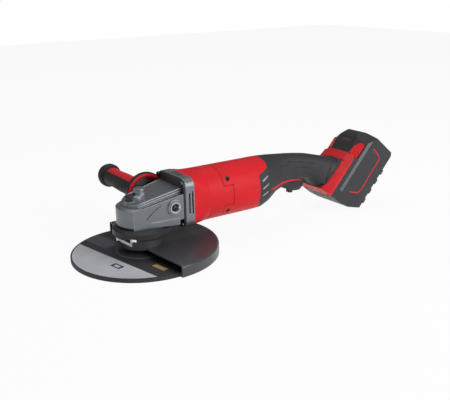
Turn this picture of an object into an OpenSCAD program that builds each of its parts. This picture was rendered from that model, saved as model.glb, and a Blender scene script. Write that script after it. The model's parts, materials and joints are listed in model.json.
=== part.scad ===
// Cordless angle grinder for a 230 mm wheel, with its battery pack fitted.
// +Z is up, +X runs towards the battery and the spindle turns about Z.
// The origin is on the spindle axis, on the plane of the wheel's underside.

/* [Wheel and spindle] */
// Diameter of the grinding wheel
disc_d = 230; // [180:5:240]
// Thickness of the grinding wheel
disc_t = 6.4; // [4:0.2:8]
// How far the wheel's hub is raised towards the tool
hub_rise = 5; // [4:0.5:6]
// Radius of the flat top of the raised hub
hub_r = 38; // [30:1:42]
// Radius of the hole in the wheel
arbor_r = 11.1; // [10:0.1:12.5]
// Radius of the spindle's thread
thread_r = 7; // [6:0.5:8]
// Radius of the spindle in its lower bearing
journal_r = 8.5; // [8:0.5:10]
// Radius of the spindle in its upper bearing
spindle_top_r = 6; // [5:0.5:7]
// Radius of the inner flange
inner_flange_r = 22; // [19:1:26]
// Thickness of the inner flange
inner_flange_t = 5.6; // [4:0.2:8]

/* [Guard] */
// Gap between the wheel's rim and the guard's skirt
guard_gap = 7.5; // [5:0.5:12]
// Sheet thickness of the guard
guard_t = 2; // [1.5:0.25:2.5]
// Height of the guard's lower edge over the wheel's underside
guard_lift = 1.8; // [1:0.2:4]
// Inside radius of the guard's collar
collar_r = 30.4; // [28:0.2:33]
// Thickness of the collar band
collar_t = 3.2; // [2.5:0.1:4.5]
// Height of the collar band
collar_h = 15.5; // [12:0.5:16.5]
// Length of the clamp lever
lever_l = 40; // [39:1:44]
// How far the clamp lever stands out from the collar, in degrees
lever_out = 14; // [13:1:18]

/* [Gear case] */
// Height of the motor axis over the wheel's underside
axis_z = 82; // [80:0.5:84]
// Height of the gear case's floor
case_z = 53; // [52:0.5:54]
// Radius of the gear case's nose
nose_r = 39; // [38.5:0.5:41]
// Half width of the gear case where it meets the flange
case_half_w = 42; // [41:0.5:43]
// Half width of the gear case at its nose
nose_half_w = 29; // [28.5:0.5:31]
// Slope of the gear case's roof in degrees
roof_slope = 12; // [11:0.2:13]
// Teeth on the bevel gear
gear_teeth = 40; // [36:4:44]
// Teeth on the bevel pinion
pinion_teeth = 11; // [10:1:12]
// Size of a tooth at the gears' outer end, as a module
gear_module = 1.4; // [1.3:0.05:1.4]

/* [Flange] */
// Where the gear case ends and the flange begins
flange_x = 56; // [54:1:58]
// Thickness of the black bezel
bezel_t = 3; // [2:0.5:4]
// Thickness of the vented flange plate
plate_t = 16; // [14:1:18]
// Width of the flange
flange_w = 88; // [86:1:92]
// Height of the flange
flange_h = 81; // [80:1:84]
// Corner radius of the flange
flange_r = 14; // [10:1:16]

/* [Motor] */
// Outside radius of the motor barrel
barrel_r = 45.4; // [44.5:0.2:47]
// Wall of the plastic housings
shell_t = 3.2; // [2.5:0.1:3.6]
// Radius of the stator
stator_r = 37.6; // [35:0.2:38]
// Length of the stator stack
stator_l = 44; // [36:1:45]
// Slots in the stator
stator_slots = 12; // [9:3:12]
// Radius of the rotor core
rotor_r = 20.5; // [18:0.5:21]
// Blades on the cooling fan
fan_blades = 13; // [9:2:17]

/* [Side handle] */
// Length of the handle's grip
side_grip_l = 126; // [100:2:140]
// Radius of the handle's grip
side_grip_r = 16.8; // [15:0.2:19]
// Radius of the handle's guard flange
side_flange_r = 36.5; // [30:0.5:38]
// Radius of the handle's end cap
side_cap_r = 21.3; // [19:0.1:24]
// Depth of the threaded sockets in the gear case
socket_l = 18; // [14:1:18]
// Wall radius of the threaded sockets
socket_r = 6; // [5:0.5:6.5]

/* [Rear handle] */
// Half width of the grip at the trigger
grip_half_w = 19.6; // [18:0.2:22]
// Half width of the trigger paddle
paddle_half_w = 10.5; // [8:0.5:12]
// Travel of the trigger paddle in degrees
paddle_travel = 8; // [5:1:8]

/* [Battery pack] */
// Lean of the battery's rails from upright, in degrees
pack_lean = 41.9; // [38:0.1:46]
// Width of the battery pack
pack_w = 84; // [80:1:90]
// Length of the battery pack along its rails
pack_l = 135; // [133:1:140]
// Depth of the pack behind its joint line
pack_depth = 62; // [62:1:70]
// Radius of a battery cell
cell_r = 10.6; // [9:0.1:10.6]
// Length of a battery cell
cell_l = 70; // [65:1:72]
// Cells in a row
row_cells = 5; // [4:1:5]

/* [Hidden] */
$fn = 64;

// finishes
grey_paint = [0.50, 0.53, 0.55];
red_shell = [0.85, 0.12, 0.15];
black_shell = [0.18, 0.18, 0.19];
black_rubber = [0.13, 0.13, 0.14];
steel = [0.72, 0.73, 0.75];
dark_steel = [0.35, 0.36, 0.38];
copper = [0.75, 0.42, 0.22];

// clearances
run_gap = 0.03;      // a shaft in its bearing or bush
seat_gap = 0.02;     // a piece pressed into its seat
part_gap = 0.3;      // two pieces that lie side by side
slide_gap = 0.4;     // rails and keys that slide
big = 1400;          // a cutter that is larger than the tool

// heights along the spindle
hub_top = disc_t + hub_rise;
shoulder_z = hub_top + inner_flange_t;
guard_plate_z = shoulder_z + 1.5;
guard_top_z = guard_plate_z + guard_t;
edge_reach = 9.7;
edge_x = 1;
ring_z = 38;                                  // underside of the retainer's ring
retainer_r = 46.5;
retainer_screw_r = 34.6;
bearing_low_z = 40.5;
bearing_low_w = 12;
bearing_low_r = 20;
bearing_top_w = 7;
bearing_top_r = 12;
bearing_top_z = 82;
spindle_top_z = bearing_top_z + bearing_top_w + 1;
spindle_end_z = 0.6;

// gear case over the spindle axis: its shoulder, and the narrower deck on top of it
shoulder_z0 = axis_z + 7.3;
roof_z = axis_z + 15.2;
nose_x = 27;
nose_z = axis_z + 5;
deck_r = 29.5;
deck_half_w = 32;
cavity_floor_z = case_z + 4;
cavity_roof_z = axis_z + 2;
tunnel_r = 15.5;

// bevel gears: the pitch cones meet where the two axes cross
gear_pitch_r = gear_teeth * gear_module / 2;
pinion_pitch_r = pinion_teeth * gear_module / 2;
pitch_angle = atan2(gear_teeth, pinion_teeth);
cone_l = norm([gear_pitch_r, pinion_pitch_r]);
face_w = cone_l * 0.25;
root_depth = gear_module * 1.2;
tip_height = gear_module * 0.95;
tooth_shrink = (cone_l - face_w) / cone_l;
pinion_bore_r = 3.4;
cavity_r = gear_pitch_r + 1.6;
mouth_r = cavity_r;
gear_hub_top_z = 73;

// spindle lock
lock_hole_x = 16.7;
lock_pin_r = 2.2;
lock_hole_r = lock_pin_r + 0.4;
lock_holes = 4;
lock_cap_r = 8.5;
lock_cap_h = 7;
lock_seat_z = 90.5;
lock_top_z = 102.5;
lock_tip_z = 68.5;
lock_web_z = lock_tip_z - 1;

// flange stack
plate_x = flange_x + bezel_t;
housing_x = plate_x + plate_t;
flange_mid_z = axis_z + 1.5;
corner_screw_y = flange_w / 2 - 7.5;
corner_screw_z = flange_h / 2 - 6.5;
case_screw_y = 27;
case_screw_z = 15.5;

// motor, from the flange to the end bracket
fan_x = housing_x + 3.5;
fan_w = 6;
stator_x = housing_x + 15.5;
winding_over = 4.6;
split_x = stator_x + stator_l - 0.5;
tab_l = 17.5;
tab_half_h = 16.5;
tab_z = 83.5;
bracket_x = stator_x + stator_l + 14.2;
bracket_t = 14;
shaft_r = 5;
rear_bearing_r = 11;
front_bearing_r = 13;
front_bearing_w = 8;
rear_bearing_w = 7;
shell_screw_x = stator_x + stator_l + 9.6;
shell_screw_dz = 28;

// side handle
handle_x = 41;
handle_z = axis_z - 1;
boss_r = 9;
boss_y = case_half_w - 0.9;
stud_r = socket_r - 0.06;
side_hub_y = boss_y + 1.2;
side_flange_y = side_hub_y + 13;
side_flange_t = 10;
side_grip_y = side_flange_y + side_flange_t;
side_cap_y = side_grip_y + side_grip_l;
side_cap_l = 22;
inlay_angle = 40;

// rear handle: each row is the lower x, lower z, upper x, upper z, half width and squareness
tail_x = 206;
// a loft runs this far into the barrel's cylinder, just inside its surface
seam_l = 0.6;
seam_r = barrel_r - 0.04;
// The black section starts on the barrel's own circle and narrows into the grip.
handle_rows = [
    [tail_x - seam_l, axis_z - seam_r, tail_x - seam_l, axis_z + seam_r, seam_r, 2],
    [222, 37.4, 222, 127.6, 44, 2.05],
    [238, 43.5, 238, 127.2, 39, 2.15],
    [250, 51, 250, 126.6, 33, 2.25],
    [262, 58.6, 262, 125.8, 27, 2.35],
    [276, 63.2, 276, 124.6, grip_half_w + 2.6, 2.4],
    [295, 66.4, 295, 122.8, grip_half_w + 0.4, 2.4],
    [315, 68.8, 315, 120.4, grip_half_w, 2.4],
    [334, 69.6, 334, 117.4, grip_half_w + 0.2, 2.4],
    [344, 67.8, 345, 115.2, grip_half_w + 0.8, 2.4],
    [351, 61, 367, 109.4, grip_half_w + 1.6, 2.5]
];
paddle_hinge = [289, 74];
lever_hinge = [306, 60.5];
switch_x = 296;
switch_z = 82;
switch_h = 20;
switch_half_w = 10;
module_x = bracket_x + bracket_t + 8;
module_z = axis_z - 30;
rib_t = 2.5;
pin_r = 1.6;
pin_half_l = 14.5;
lever_pin_r = 1.2;

// battery interface: its own frame has x into the pack, y across and z along the rails
heel_w = 77.5;
heel_u = 14.5;
pack_x = 383.5;
pack_z = heel_w * sin(pack_lean) - heel_u * cos(pack_lean);
foot_u0 = -9.5;
foot_u1 = 71.5;
foot_lean = 0.8;
deck_w = 10;
front_w = 12;
front_half_y = 21;
cheek_t = 4;
cheek_w = 7.5;
rail_y = 26;
rail_stem = 4.4;
rail_head = 7.5;
rail_h = 7;
rail_lip = 3.2;
blade_y = 11;
latch_u = 91;

// ---- helpers ----

module cyl_x(r, x0, x1) translate([x0, 0, 0]) rotate([0, 90, 0]) cylinder(r = r, h = x1 - x0);

module cyl_y(r, y0, y1) translate([0, y0, 0]) rotate([-90, 0, 0]) cylinder(r = r, h = y1 - y0);

module turned_x(points) rotate([0, 90, 0]) rotate_extrude() polygon(points);

module turned_y(points) rotate([-90, 0, 0]) rotate_extrude() polygon(points);

module at_axis() translate([0, 0, axis_z]) children();

module at_pack() translate([pack_x, 0, pack_z]) rotate([0, pack_lean, 0]) children();

module at_side_handle() translate([handle_x, 0, handle_z]) children();

// A slab with rounded corners in the YZ plane, from x0 to x1
module rounded_plate(w, h, r, x0, x1)
    translate([x0, 0, 0]) rotate([90, 0, 90]) linear_extrude(x1 - x0)
        union() {
            square([w - 2 * r, h], center = true);
            square([w, h - 2 * r], center = true);
            for (sy = [-1, 1], sz = [-1, 1]) translate([sy * (w / 2 - r), sz * (h / 2 - r)]) circle(r);
        }

// A side outline in the XZ plane, drawn through from y0 to y1
module side_profile(points, y0, y1)
    translate([0, y1, 0]) rotate([90, 0, 0]) linear_extrude(y1 - y0) polygon(points);

function signed_pow(v, e) = sign(v) * pow(abs(v), e);

// One ring of a loft: a rounded oblong between a lower and an upper point of the XZ plane
function loft_ring(row, inset = 0, n = 48) =
    let (lift = norm([row[2] - row[0], row[3] - row[1]]),
         half = [(row[2] - row[0]) / 2, (row[3] - row[1]) / 2] * (lift - 2 * inset) / lift,
         mid = [(row[2] + row[0]) / 2, (row[3] + row[1]) / 2])
    [for (k = [0 : n - 1])
        let (c = signed_pow(cos(360 * k / n), 2 / row[5]), s = signed_pow(sin(360 * k / n), 2 / row[5]))
        [mid[0] + s * half[0], (row[4] - inset) * c, mid[1] + s * half[1]]];

module loft(rings) {
    n = len(rings[0]);
    m = len(rings);
    polyhedron(
        points = [for (ring = rings) each ring],
        faces = concat(
            [[for (k = [0 : n - 1]) k]],
            [[for (k = [n - 1 : -1 : 0]) (m - 1) * n + k]],
            [for (i = [0 : m - 2], k = [0 : n - 1])
                let (j = (k + 1) % n) each [
                    [i * n + k, (i + 1) * n + k, (i + 1) * n + j],
                    [i * n + k, (i + 1) * n + j, i * n + j]]]));
}

// A deep-groove ball bearing about Z
module ball_bearing(bore_r, outer_r, width, balls) {
    track_r = (bore_r + outer_r) / 2;
    ball_r = (outer_r - bore_r) * 0.27;
    ring_t = (outer_r - bore_r) * 0.3;
    edge = width / 2;
    difference() {
        union() {
            rotate_extrude() translate([bore_r, -edge]) square([ring_t, width]);
            rotate_extrude() translate([outer_r - ring_t, -edge]) square([ring_t, width]);
        }
        rotate_extrude() translate([track_r, 0]) circle(ball_r + 0.05);
    }
    for (i = [0 : balls - 1]) rotate([0, 0, 360 * i / balls]) translate([track_r, 0, 0]) sphere(ball_r);
}

// A screw along +X with its head's top at the origin
module screw_x(shank_r, head_r, head_t, length) {
    difference() {
        cyl_x(head_r, 0, head_t);
        cyl_x(head_r * 0.5, -1, head_t * 0.55);
    }
    cyl_x(shank_r, head_t, length);
}

// ---- gear head ----

// Half width of the case's tapered sides at a place along its length
function side_at(x) = nose_half_w + (case_half_w - nose_half_w) * (x + nose_x) / (flange_x + nose_x);

// Half width of the deck at a place along its length
function deck_at(x) = deck_r * 0.82 + (deck_half_w - deck_r * 0.82) * (x + nose_x) / (flange_x + nose_x);

// Everything under a plane that rises towards the flange, through a height on the spindle axis
module under_slope(z, slope) translate([0, 0, z]) rotate([0, -slope, 0]) translate([-150, -150, -200]) cube([300, 300, 200]);

module gear_case_body() {
    bevel = 4.5;
    foot_r = 5;
    // round nose, its upper edge bevelled all the way round
    module nose(r) rotate_extrude(convexity = 4) difference() {
        polygon([[0, case_z], [r, case_z], [r, nose_z - 3], [r - bevel, nose_z], [0, nose_z]]);
        translate([r - foot_r, case_z]) difference() {
            square([foot_r + 1, foot_r]);
            translate([0, foot_r]) circle(foot_r);
        }
    }
    plan = [[-nose_x, -nose_half_w], [flange_x, -case_half_w], [flange_x, case_half_w], [-nose_x, nose_half_w]];
    intersection() {
        union() {
            nose(nose_r);
            intersection() {
                translate([0, 0, case_z]) linear_extrude(60) polygon(plan);
                under_slope(shoulder_z0, roof_slope);
            }
        }
        translate([0, 0, case_z - 1]) linear_extrude(100)
            polygon([[-60, -side_at(-60)], [flange_x, -case_half_w], [flange_x, case_half_w], [-60, side_at(-60)]]);
    }
}

// Raised deck with a round front, and two fins along each side
module gear_case_deck() {
    fin = 1.3;
    fin_t = 1.6;
    deck_x = -15.5;
    module outline(grow) {
        intersection() {
            circle(deck_r + grow);
            translate([-60, -60]) square([60 + deck_x, 120]);
        }
        polygon([[deck_x - 1, -deck_at(deck_x) - grow], [flange_x, -deck_half_w - grow],
                 [flange_x, deck_half_w + grow], [deck_x - 1, deck_at(deck_x) + grow]]);
    }
    intersection() {
        translate([0, 0, axis_z - 2]) linear_extrude(60) outline(0);
        under_slope(roof_z, roof_slope);
    }
    // fins stand out from the deck's walls behind its round front
    for (row = [0, 1]) intersection() {
        translate([0, 0, axis_z - 2]) linear_extrude(60) outline(fin);
        difference() {
            under_slope(roof_z - 4.1 * row, roof_slope);
            under_slope(roof_z - 4.1 * row - fin_t, roof_slope);
        }
        translate([deck_x, -60, 0]) cube([flange_x - deck_x, 120, 200]);
    }
}

// Lower lip of each side: it stands out further towards the flange
module side_lips() {
    reach = 3.4;
    lip_x = flange_x - 9;
    for (side = [-1, 1]) mirror([0, side > 0 ? 0 : 1, 0]) intersection() {
        translate([0, 0, case_z]) linear_extrude(20)
            polygon([[0, side_at(0) - 2], [0, side_at(0)], [lip_x, side_at(lip_x) + reach], [lip_x, side_at(lip_x) - 2]]);
        side_profile([[0, case_z], [lip_x, case_z], [lip_x, case_z + 10.5], [0, case_z + 8.5]], 0, 60);
    }
}

module gear_case() color(grey_paint) {
    turret_r = 9.5;
    turret_z = roof_z + 15;
    skirt_r = 13.5;
    skirt_x = -7;
    skirt_z = roof_z + 5.5;
    guide_r = lock_cap_r + 2.4;
    difference() {
        union() {
            gear_case_body();
            gear_case_deck();
            side_lips();
            // turret over the upper bearing, on a wider skirt that reaches round the spindle lock
            rotate_extrude() polygon([[0, roof_z - 8], [turret_r + 2, roof_z - 8], [turret_r + 2, skirt_z], [turret_r, skirt_z + 3],
                                      [turret_r, turret_z - 2], [turret_r - 0.6, turret_z - 0.6], [turret_r - 2, turret_z], [0, turret_z]]);
            translate([skirt_x, 0, 0]) rotate_extrude() polygon([
                [0, roof_z - 10], [skirt_r, roof_z - 10], [skirt_r, skirt_z - 4], [skirt_r - 1, skirt_z - 1.4],
                [skirt_r - 3.4, skirt_z], [0, skirt_z]]);
            translate([-lock_hole_x, 0, cavity_roof_z]) cylinder(r = guide_r, h = lock_seat_z + 4 - cavity_roof_z);
            for (side = [-1, 1]) translate([handle_x, 0, handle_z])
                cyl_y(boss_r + 3.5, min(side * boss_y, side * (boss_y - 8)), max(side * boss_y, side * (boss_y - 8)));
        }
        // gear chamber, its mouth and the pinion's tunnel
        difference() {
            union() {
                translate([0, 0, cavity_floor_z]) cylinder(r = cavity_r, h = cavity_roof_z - cavity_floor_z);
                at_axis() cyl_x(tunnel_r, 20, flange_x + 1);
            }
            translate([0, 0, bearing_top_z]) cylinder(r = bearing_top_r + 2, h = 30);
        }
        translate([0, 0, case_z - 1]) cylinder(r = mouth_r, h = cavity_floor_z - case_z + 2);
        // seat of the upper bearing
        translate([0, 0, bearing_top_z - 1]) cylinder(r = bearing_top_r + seat_gap, h = bearing_top_w + 1);
        translate([0, 0, bearing_top_z]) cylinder(r = bearing_top_r - 3, h = bearing_top_w + 2.5);
        // guide of the spindle lock
        translate([-lock_hole_x, 0, cavity_roof_z - 1]) cylinder(r = lock_pin_r + run_gap, h = 30);
        translate([-lock_hole_x, 0, lock_seat_z]) cylinder(r = lock_cap_r + part_gap, h = 30);
        // threaded sockets for the side handle
        at_side_handle() {
            cyl_y(boss_r + seat_gap, -big, -boss_y + socket_l);
            cyl_y(boss_r + seat_gap, boss_y - socket_l, big);
        }
        // lower corners are cut back round the flange screws
        for (side = [-1, 1]) translate([flange_x - 9, side * 42 - 14, case_z - 1]) cube([10, 28, 8]);
        // screws from the flange, and from the retainer below
        at_case_screws() cyl_x(2.2, flange_x - 13, flange_x + 1);
        at_retainer_screws() translate([0, 0, case_z - 1]) cylinder(r = 2, h = 13);
    }
}

module at_case_screws() at_axis()
    for (sy = [-1, 1], sz = [-1, 1]) translate([0, sy * case_screw_y, sz * case_screw_z]) children();

module at_retainer_screws() for (a = [45 : 90 : 315]) rotate([0, 0, a]) translate([retainer_screw_r, 0, 0]) children();

module handle_inserts() color(steel) at_side_handle() for (side = [-1, 1]) mirror([0, side > 0 ? 0 : 1, 0])
    difference() {
        cyl_y(boss_r, boss_y - socket_l, boss_y + 1);
        cyl_y(socket_r, boss_y - socket_l - 1, boss_y + 2);
        // lead-in chamfer at the mouth
        translate([0, boss_y + 1, 0]) turned_y([[0, 0.1], [socket_r + 1.6, 0.1], [socket_r, -1.5], [0, -1.5]]);
    }

module flange_outline(x0, x1, inset = 0)
    translate([0, 0, flange_mid_z])
        rounded_plate(flange_w - 2 * inset, flange_h - 2 * inset, flange_r - inset, x0, x1);

module at_corner_screws() translate([0, 0, flange_mid_z])
    for (sy = [-1, 1], sz = [-1, 1]) translate([0, sy * corner_screw_y, sz * corner_screw_z]) children();

module flange_bezel() color(black_shell) difference() {
    flange_outline(flange_x, plate_x, 1.2);
    at_axis() cyl_x(16, flange_x - 1, plate_x + 1);
    at_corner_screws() cyl_x(2.7, flange_x - 1, plate_x + 1);
    at_case_screws() cyl_x(2.7, flange_x - 1, plate_x + 1);
}

module flange_plate() color(grey_paint) {
    wall = 4;
    web_t = 5;
    web_x = plate_x + web_t;
    difference() {
        flange_outline(plate_x, housing_x);
        // air chamber behind the web, open to the motor
        difference() {
            flange_outline(web_x, housing_x + 1, wall);
            at_axis() cyl_x(front_bearing_r + 4, web_x - 1, housing_x + 2);
            at_corner_screws() cyl_x(6.5, web_x - 1, housing_x + 2);
        }
        at_axis() cyl_x(shaft_r + 4, plate_x - 1, housing_x + 1);
        at_axis() cyl_x(front_bearing_r + seat_gap, housing_x - front_bearing_w, housing_x + 1);
        at_corner_screws() cyl_x(2.7, plate_x - 1, housing_x + 1);
        at_case_screws() cyl_x(2.7, plate_x - 1, web_x + 1);
        // two outlet slots in each side, and three over the top
        for (side = [-1, 1]) {
            translate([web_x + 0.6, side * flange_w / 2 - 6, axis_z - 15]) cube([2.8, 12, 34]);
            translate([web_x + 6.4, side * flange_w / 2 - 6, axis_z - 16]) cube([2.8, 12, 38]);
        }
        for (row = [0, 1]) translate([web_x + 0.6 + 5.8 * row, -16, flange_mid_z + flange_h / 2 - 6])
            cube([2.8, 32, 12]);
    }
}

module housing_screws() color(dark_steel) at_corner_screws()
    translate([flange_x - 3, 0, 0]) screw_x(2.4, 4, 3, 29);

module gear_case_screws() color(dark_steel) at_case_screws()
    translate([plate_x + 8.2, 0, 0]) mirror([1, 0, 0]) screw_x(2.2 - seat_gap, 4.2, 3.2, 21);

module bearing_retainer() color(black_shell) {
    neck_r = collar_r - part_gap;
    bevel = 4;
    lip_r = mouth_r - slide_gap;
    difference() {
        rotate_extrude() polygon([
            [journal_r + 3.6, guard_top_z + 1.5], [neck_r - 1, guard_top_z + 1.5], [neck_r, guard_top_z + 2.5],
            [neck_r, ring_z], [retainer_r - 2, ring_z], [retainer_r, ring_z + 2],
            [retainer_r, case_z - bevel], [retainer_r - bevel - 2, case_z], [lip_r, case_z],
            [lip_r, case_z + 3.5], [bearing_low_r + seat_gap, case_z + 3.5],
            [bearing_low_r + seat_gap, bearing_low_z], [bearing_low_r - 4, bearing_low_z],
            [bearing_low_r - 4, bearing_low_z - 4], [journal_r + 3.6, bearing_low_z - 4]]);
        at_retainer_screws() {
            translate([0, 0, ring_z - 1]) cylinder(r = 2.2, h = 20);
            translate([0, 0, ring_z - 1]) cylinder(r = 4.2, h = 4.5);
        }
    }
}

module retainer_screws() color(dark_steel) at_retainer_screws() {
    translate([0, 0, ring_z + 0.7]) difference() {
        cylinder(r = 3.8, h = 2.8);
        translate([0, 0, -1]) cylinder(r = 2, h = 2.4, $fn = 6);
    }
    translate([0, 0, ring_z + 3.5]) cylinder(r = 2 - seat_gap, h = 19);
}

module spindle_seal() color(black_rubber) rotate_extrude() polygon([
    [journal_r + 3.6 - seat_gap, bearing_low_z - 13], [journal_r + 3.6 - seat_gap, bearing_low_z - 6],
    [journal_r + 2.4, bearing_low_z - 6], [journal_r + 2.4, bearing_low_z - 10],
    [journal_r + part_gap, bearing_low_z - 9], [journal_r + part_gap, bearing_low_z - 11],
    [journal_r + 1.8, bearing_low_z - 13]]);

module spindle_bearing_lower() color(steel) translate([0, 0, bearing_low_z + bearing_low_w / 2])
    ball_bearing(journal_r, bearing_low_r, bearing_low_w, 9);

module spindle_bearing_upper() color(steel) translate([0, 0, bearing_top_z + bearing_top_w / 2])
    ball_bearing(spindle_top_r, bearing_top_r, bearing_top_w, 8);

// ---- spindle ----

module spindle() color(dark_steel) {
    gear_seat_r = journal_r - 0.5;
    rotate_extrude() polygon([
        [0, spindle_end_z], [thread_r - 1, spindle_end_z], [thread_r, spindle_end_z + 1],
        [thread_r, shoulder_z], [journal_r - run_gap, shoulder_z],
        [journal_r - run_gap, bearing_low_z + bearing_low_w + 1],
        [gear_seat_r, bearing_low_z + bearing_low_w + 1], [gear_seat_r, gear_hub_top_z + 1.5],
        [spindle_top_r - run_gap, gear_hub_top_z + 3], [spindle_top_r - run_gap, spindle_top_z - 1],
        [spindle_top_r - 1, spindle_top_z], [0, spindle_top_z]]);
}

// A bevel tooth at the outer end of its cone, tapering towards the point where the axes cross
module bevel_tooth(points) translate([0, 0, -cone_l]) linear_extrude(face_w, scale = tooth_shrink) polygon(points);

module bevel_gear() color(steel) {
    half_t = PI * gear_module / 4 - 0.08;
    slant = tan(20);
    hub_r0 = 13.4;
    // direction along the pitch cone and across it, in radius and height
    along = [sin(pitch_angle), -cos(pitch_angle)];
    across = [cos(pitch_angle), sin(pitch_angle)];
    root_out = along * cone_l - across * (root_depth - 0.1);
    root_in = root_out * tooth_shrink;
    back_z = bearing_low_z + bearing_low_w + 1;
    difference() {
        union() {
            rotate_extrude() polygon([
                [journal_r - 0.5 + seat_gap, back_z], [hub_r0, back_z], [hub_r0 + 4, back_z + 6],
                [root_out[0] - 3, back_z + 10], [root_out[0] + 0.4, axis_z + root_out[1] - 3],
                [root_out[0], axis_z + root_out[1]], [root_in[0], axis_z + root_in[1]],
                [root_in[0] - 0.8, lock_web_z], [hub_r0, lock_web_z], [hub_r0, gear_hub_top_z],
                [journal_r - 0.5 + seat_gap, gear_hub_top_z]]);
            for (i = [0 : gear_teeth - 1]) rotate([0, 0, (i + 0.5) * 360 / gear_teeth])
                at_axis() rotate([0, -pitch_angle, 0])
                    bevel_tooth([[-root_depth, -half_t - root_depth * slant], [tip_height, -half_t + tip_height * slant],
                                 [tip_height, half_t - tip_height * slant], [-root_depth, half_t + root_depth * slant]]);
        }
        for (i = [0 : lock_holes - 1]) rotate([0, 0, i * 360 / lock_holes])
            translate([-lock_hole_x, 0, lock_web_z - 5]) cylinder(r = lock_hole_r, h = 20);
    }
}

module inner_flange() color(dark_steel) rotate_extrude() polygon([
    [thread_r + run_gap, hub_top - 1.5], [arbor_r - 0.15, hub_top - 1.5], [arbor_r - 0.15, hub_top],
    [inner_flange_r, hub_top], [inner_flange_r, hub_top + 2], [inner_flange_r - 5, shoulder_z],
    [thread_r + run_gap, shoulder_z]]);

module grinding_disc() color([0.12, 0.12, 0.13]) {
    toe_r = hub_r + 8;
    rotate_extrude() polygon([
        [arbor_r, hub_rise], [hub_r - 1, hub_rise], [toe_r - 1, 0], [disc_d / 2, 0],
        [disc_d / 2, disc_t], [toe_r, disc_t], [hub_r, hub_top], [arbor_r, hub_top]]);
}

module lock_nut() color(steel) {
    nut_r = 19;
    pin_holes = 4;
    difference() {
        rotate_extrude() polygon([
            [thread_r + run_gap, 0.8], [nut_r - 2, 0.8], [nut_r, 2.2], [nut_r, hub_rise],
            [arbor_r - 0.2, hub_rise], [arbor_r - 0.2, hub_rise + 3], [thread_r + run_gap, hub_rise + 3]]);
        for (i = [0 : pin_holes - 1]) rotate([0, 0, i * 360 / pin_holes])
            translate([15, 0, 0]) cylinder(r = 2.5, h = 3.6);
    }
}

// ---- spindle lock ----

module lock_button() color(black_shell) translate([-lock_hole_x, 0, 0]) {
    under_z = lock_top_z - lock_cap_h;
    rim_z = under_z - 2;
    spring_room_r = lock_pin_r + 3.4;
    rotate_extrude() polygon([
        [0, lock_tip_z], [lock_pin_r - 1, lock_tip_z], [lock_pin_r, lock_tip_z + 1], [lock_pin_r, under_z],
        [spring_room_r, under_z], [spring_room_r, rim_z], [lock_cap_r, rim_z], [lock_cap_r, lock_top_z - 1.6],
        [lock_cap_r - 1.6, lock_top_z], [0, lock_top_z]]);
}

module lock_spring() color(steel) translate([-lock_hole_x, 0, lock_seat_z]) {
    coils = 2;
    wire_r = 0.55;
    rise = (lock_top_z - lock_cap_h - lock_seat_z - 2 * wire_r) / coils;
    for (i = [0 : coils]) translate([0, 0, wire_r + i * rise])
        rotate_extrude() translate([lock_pin_r + 1.6, 0]) circle(wire_r);
}

// ---- guard ----

guard_r = disc_d / 2 + guard_gap + guard_t;

module guard() color(black_shell) {
    crown = 5;
    lip = 3;
    intersection() {
        rotate_extrude() difference() {
            polygon([[collar_r, guard_plate_z], [guard_r - guard_t, guard_plate_z], [guard_r - guard_t, guard_lift + 1.5],
                     [guard_r - guard_t - lip, guard_lift + 1.5], [guard_r - guard_t - lip, guard_lift],
                     [guard_r, guard_lift], [guard_r, guard_top_z], [collar_r, guard_top_z]]);
            translate([guard_r - crown, guard_top_z - crown]) difference() {
                square([crown + 1, crown + 1]);
                circle(crown);
            }
        }
        union() {
            linear_extrude(60) polygon([[-edge_reach, -collar_r], [edge_x, -guard_r], [big, -guard_r], [big, guard_r],
                                        [edge_x, guard_r], [-edge_reach, collar_r]]);
            cylinder(r = collar_r + collar_t, h = 60);
        }
    }
}

lever_a = 172;
lever_z = guard_top_z + 13;
lever_pin_x = collar_r + collar_t + 6.1;

module at_lever_pin() rotate([0, 0, lever_a]) translate([lever_pin_x, 0, 0]) children();

module guard_collar() color(black_shell) {
    ear_l = 10.5;
    ear_w = 12;
    difference() {
        union() {
            translate([0, 0, guard_top_z]) difference() {
                cylinder(r = collar_r + collar_t, h = collar_h);
                translate([0, 0, -1]) cylinder(r = collar_r, h = collar_h + 2);
            }
            // ears of the clamp
            rotate([0, 0, lever_a]) translate([collar_r + 0.6, -ear_w / 2, guard_top_z + 1])
                cube([ear_l + 1, ear_w, collar_h - 1.5]);
        }
        // the split between the ears, and the room for the lever's eye
        rotate([0, 0, lever_a]) translate([collar_r - 3, -ear_w / 2 - 1, guard_top_z - 1]) cube([ear_l + 10, 1.6, collar_h + 3]);
        rotate([0, 0, lever_a]) translate([collar_r + collar_t + 0.3, -big / 2, lever_z - 2.9]) cube([20, big, 5.8]);
        at_lever_pin() translate([0, 0, guard_top_z - 2]) cylinder(r = 1.5, h = 30);
    }
    // pin that the lever turns on
    at_lever_pin() translate([0, 0, guard_top_z + 1]) cylinder(r = 1.5, h = collar_h - 1.5);
}

// Over-centre lever: an eye, a straight arm past the collar and a tab turned up before the retainer
module guard_lever() color(steel) at_lever_pin() {
    arm_h = 5;
    arm_t = 2.6;
    tab_h = 12;
    tab_w = 3;
    tab_l = 9;
    translate([0, 0, lever_z]) difference() {
        union() {
            translate([0, 0, -arm_h / 2]) cylinder(r = 3, h = arm_h);
            rotate([0, 0, lever_out]) translate([-arm_t / 2, 0, -arm_h / 2]) {
                cube([arm_t, lever_l + tab_w - 2, arm_h]);
                translate([0, lever_l - 2, 0]) cube([arm_t, tab_w, tab_h]);
                // the tab follows the retainer round
                translate([0, lever_l - 2, tab_h - 4]) rotate([0, 0, 36]) cube([arm_t, tab_l, 4]);
            }
        }
        translate([0, 0, -5]) cylinder(r = 1.5 + run_gap, h = 10);
    }
}

// ---- rotor ----

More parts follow.
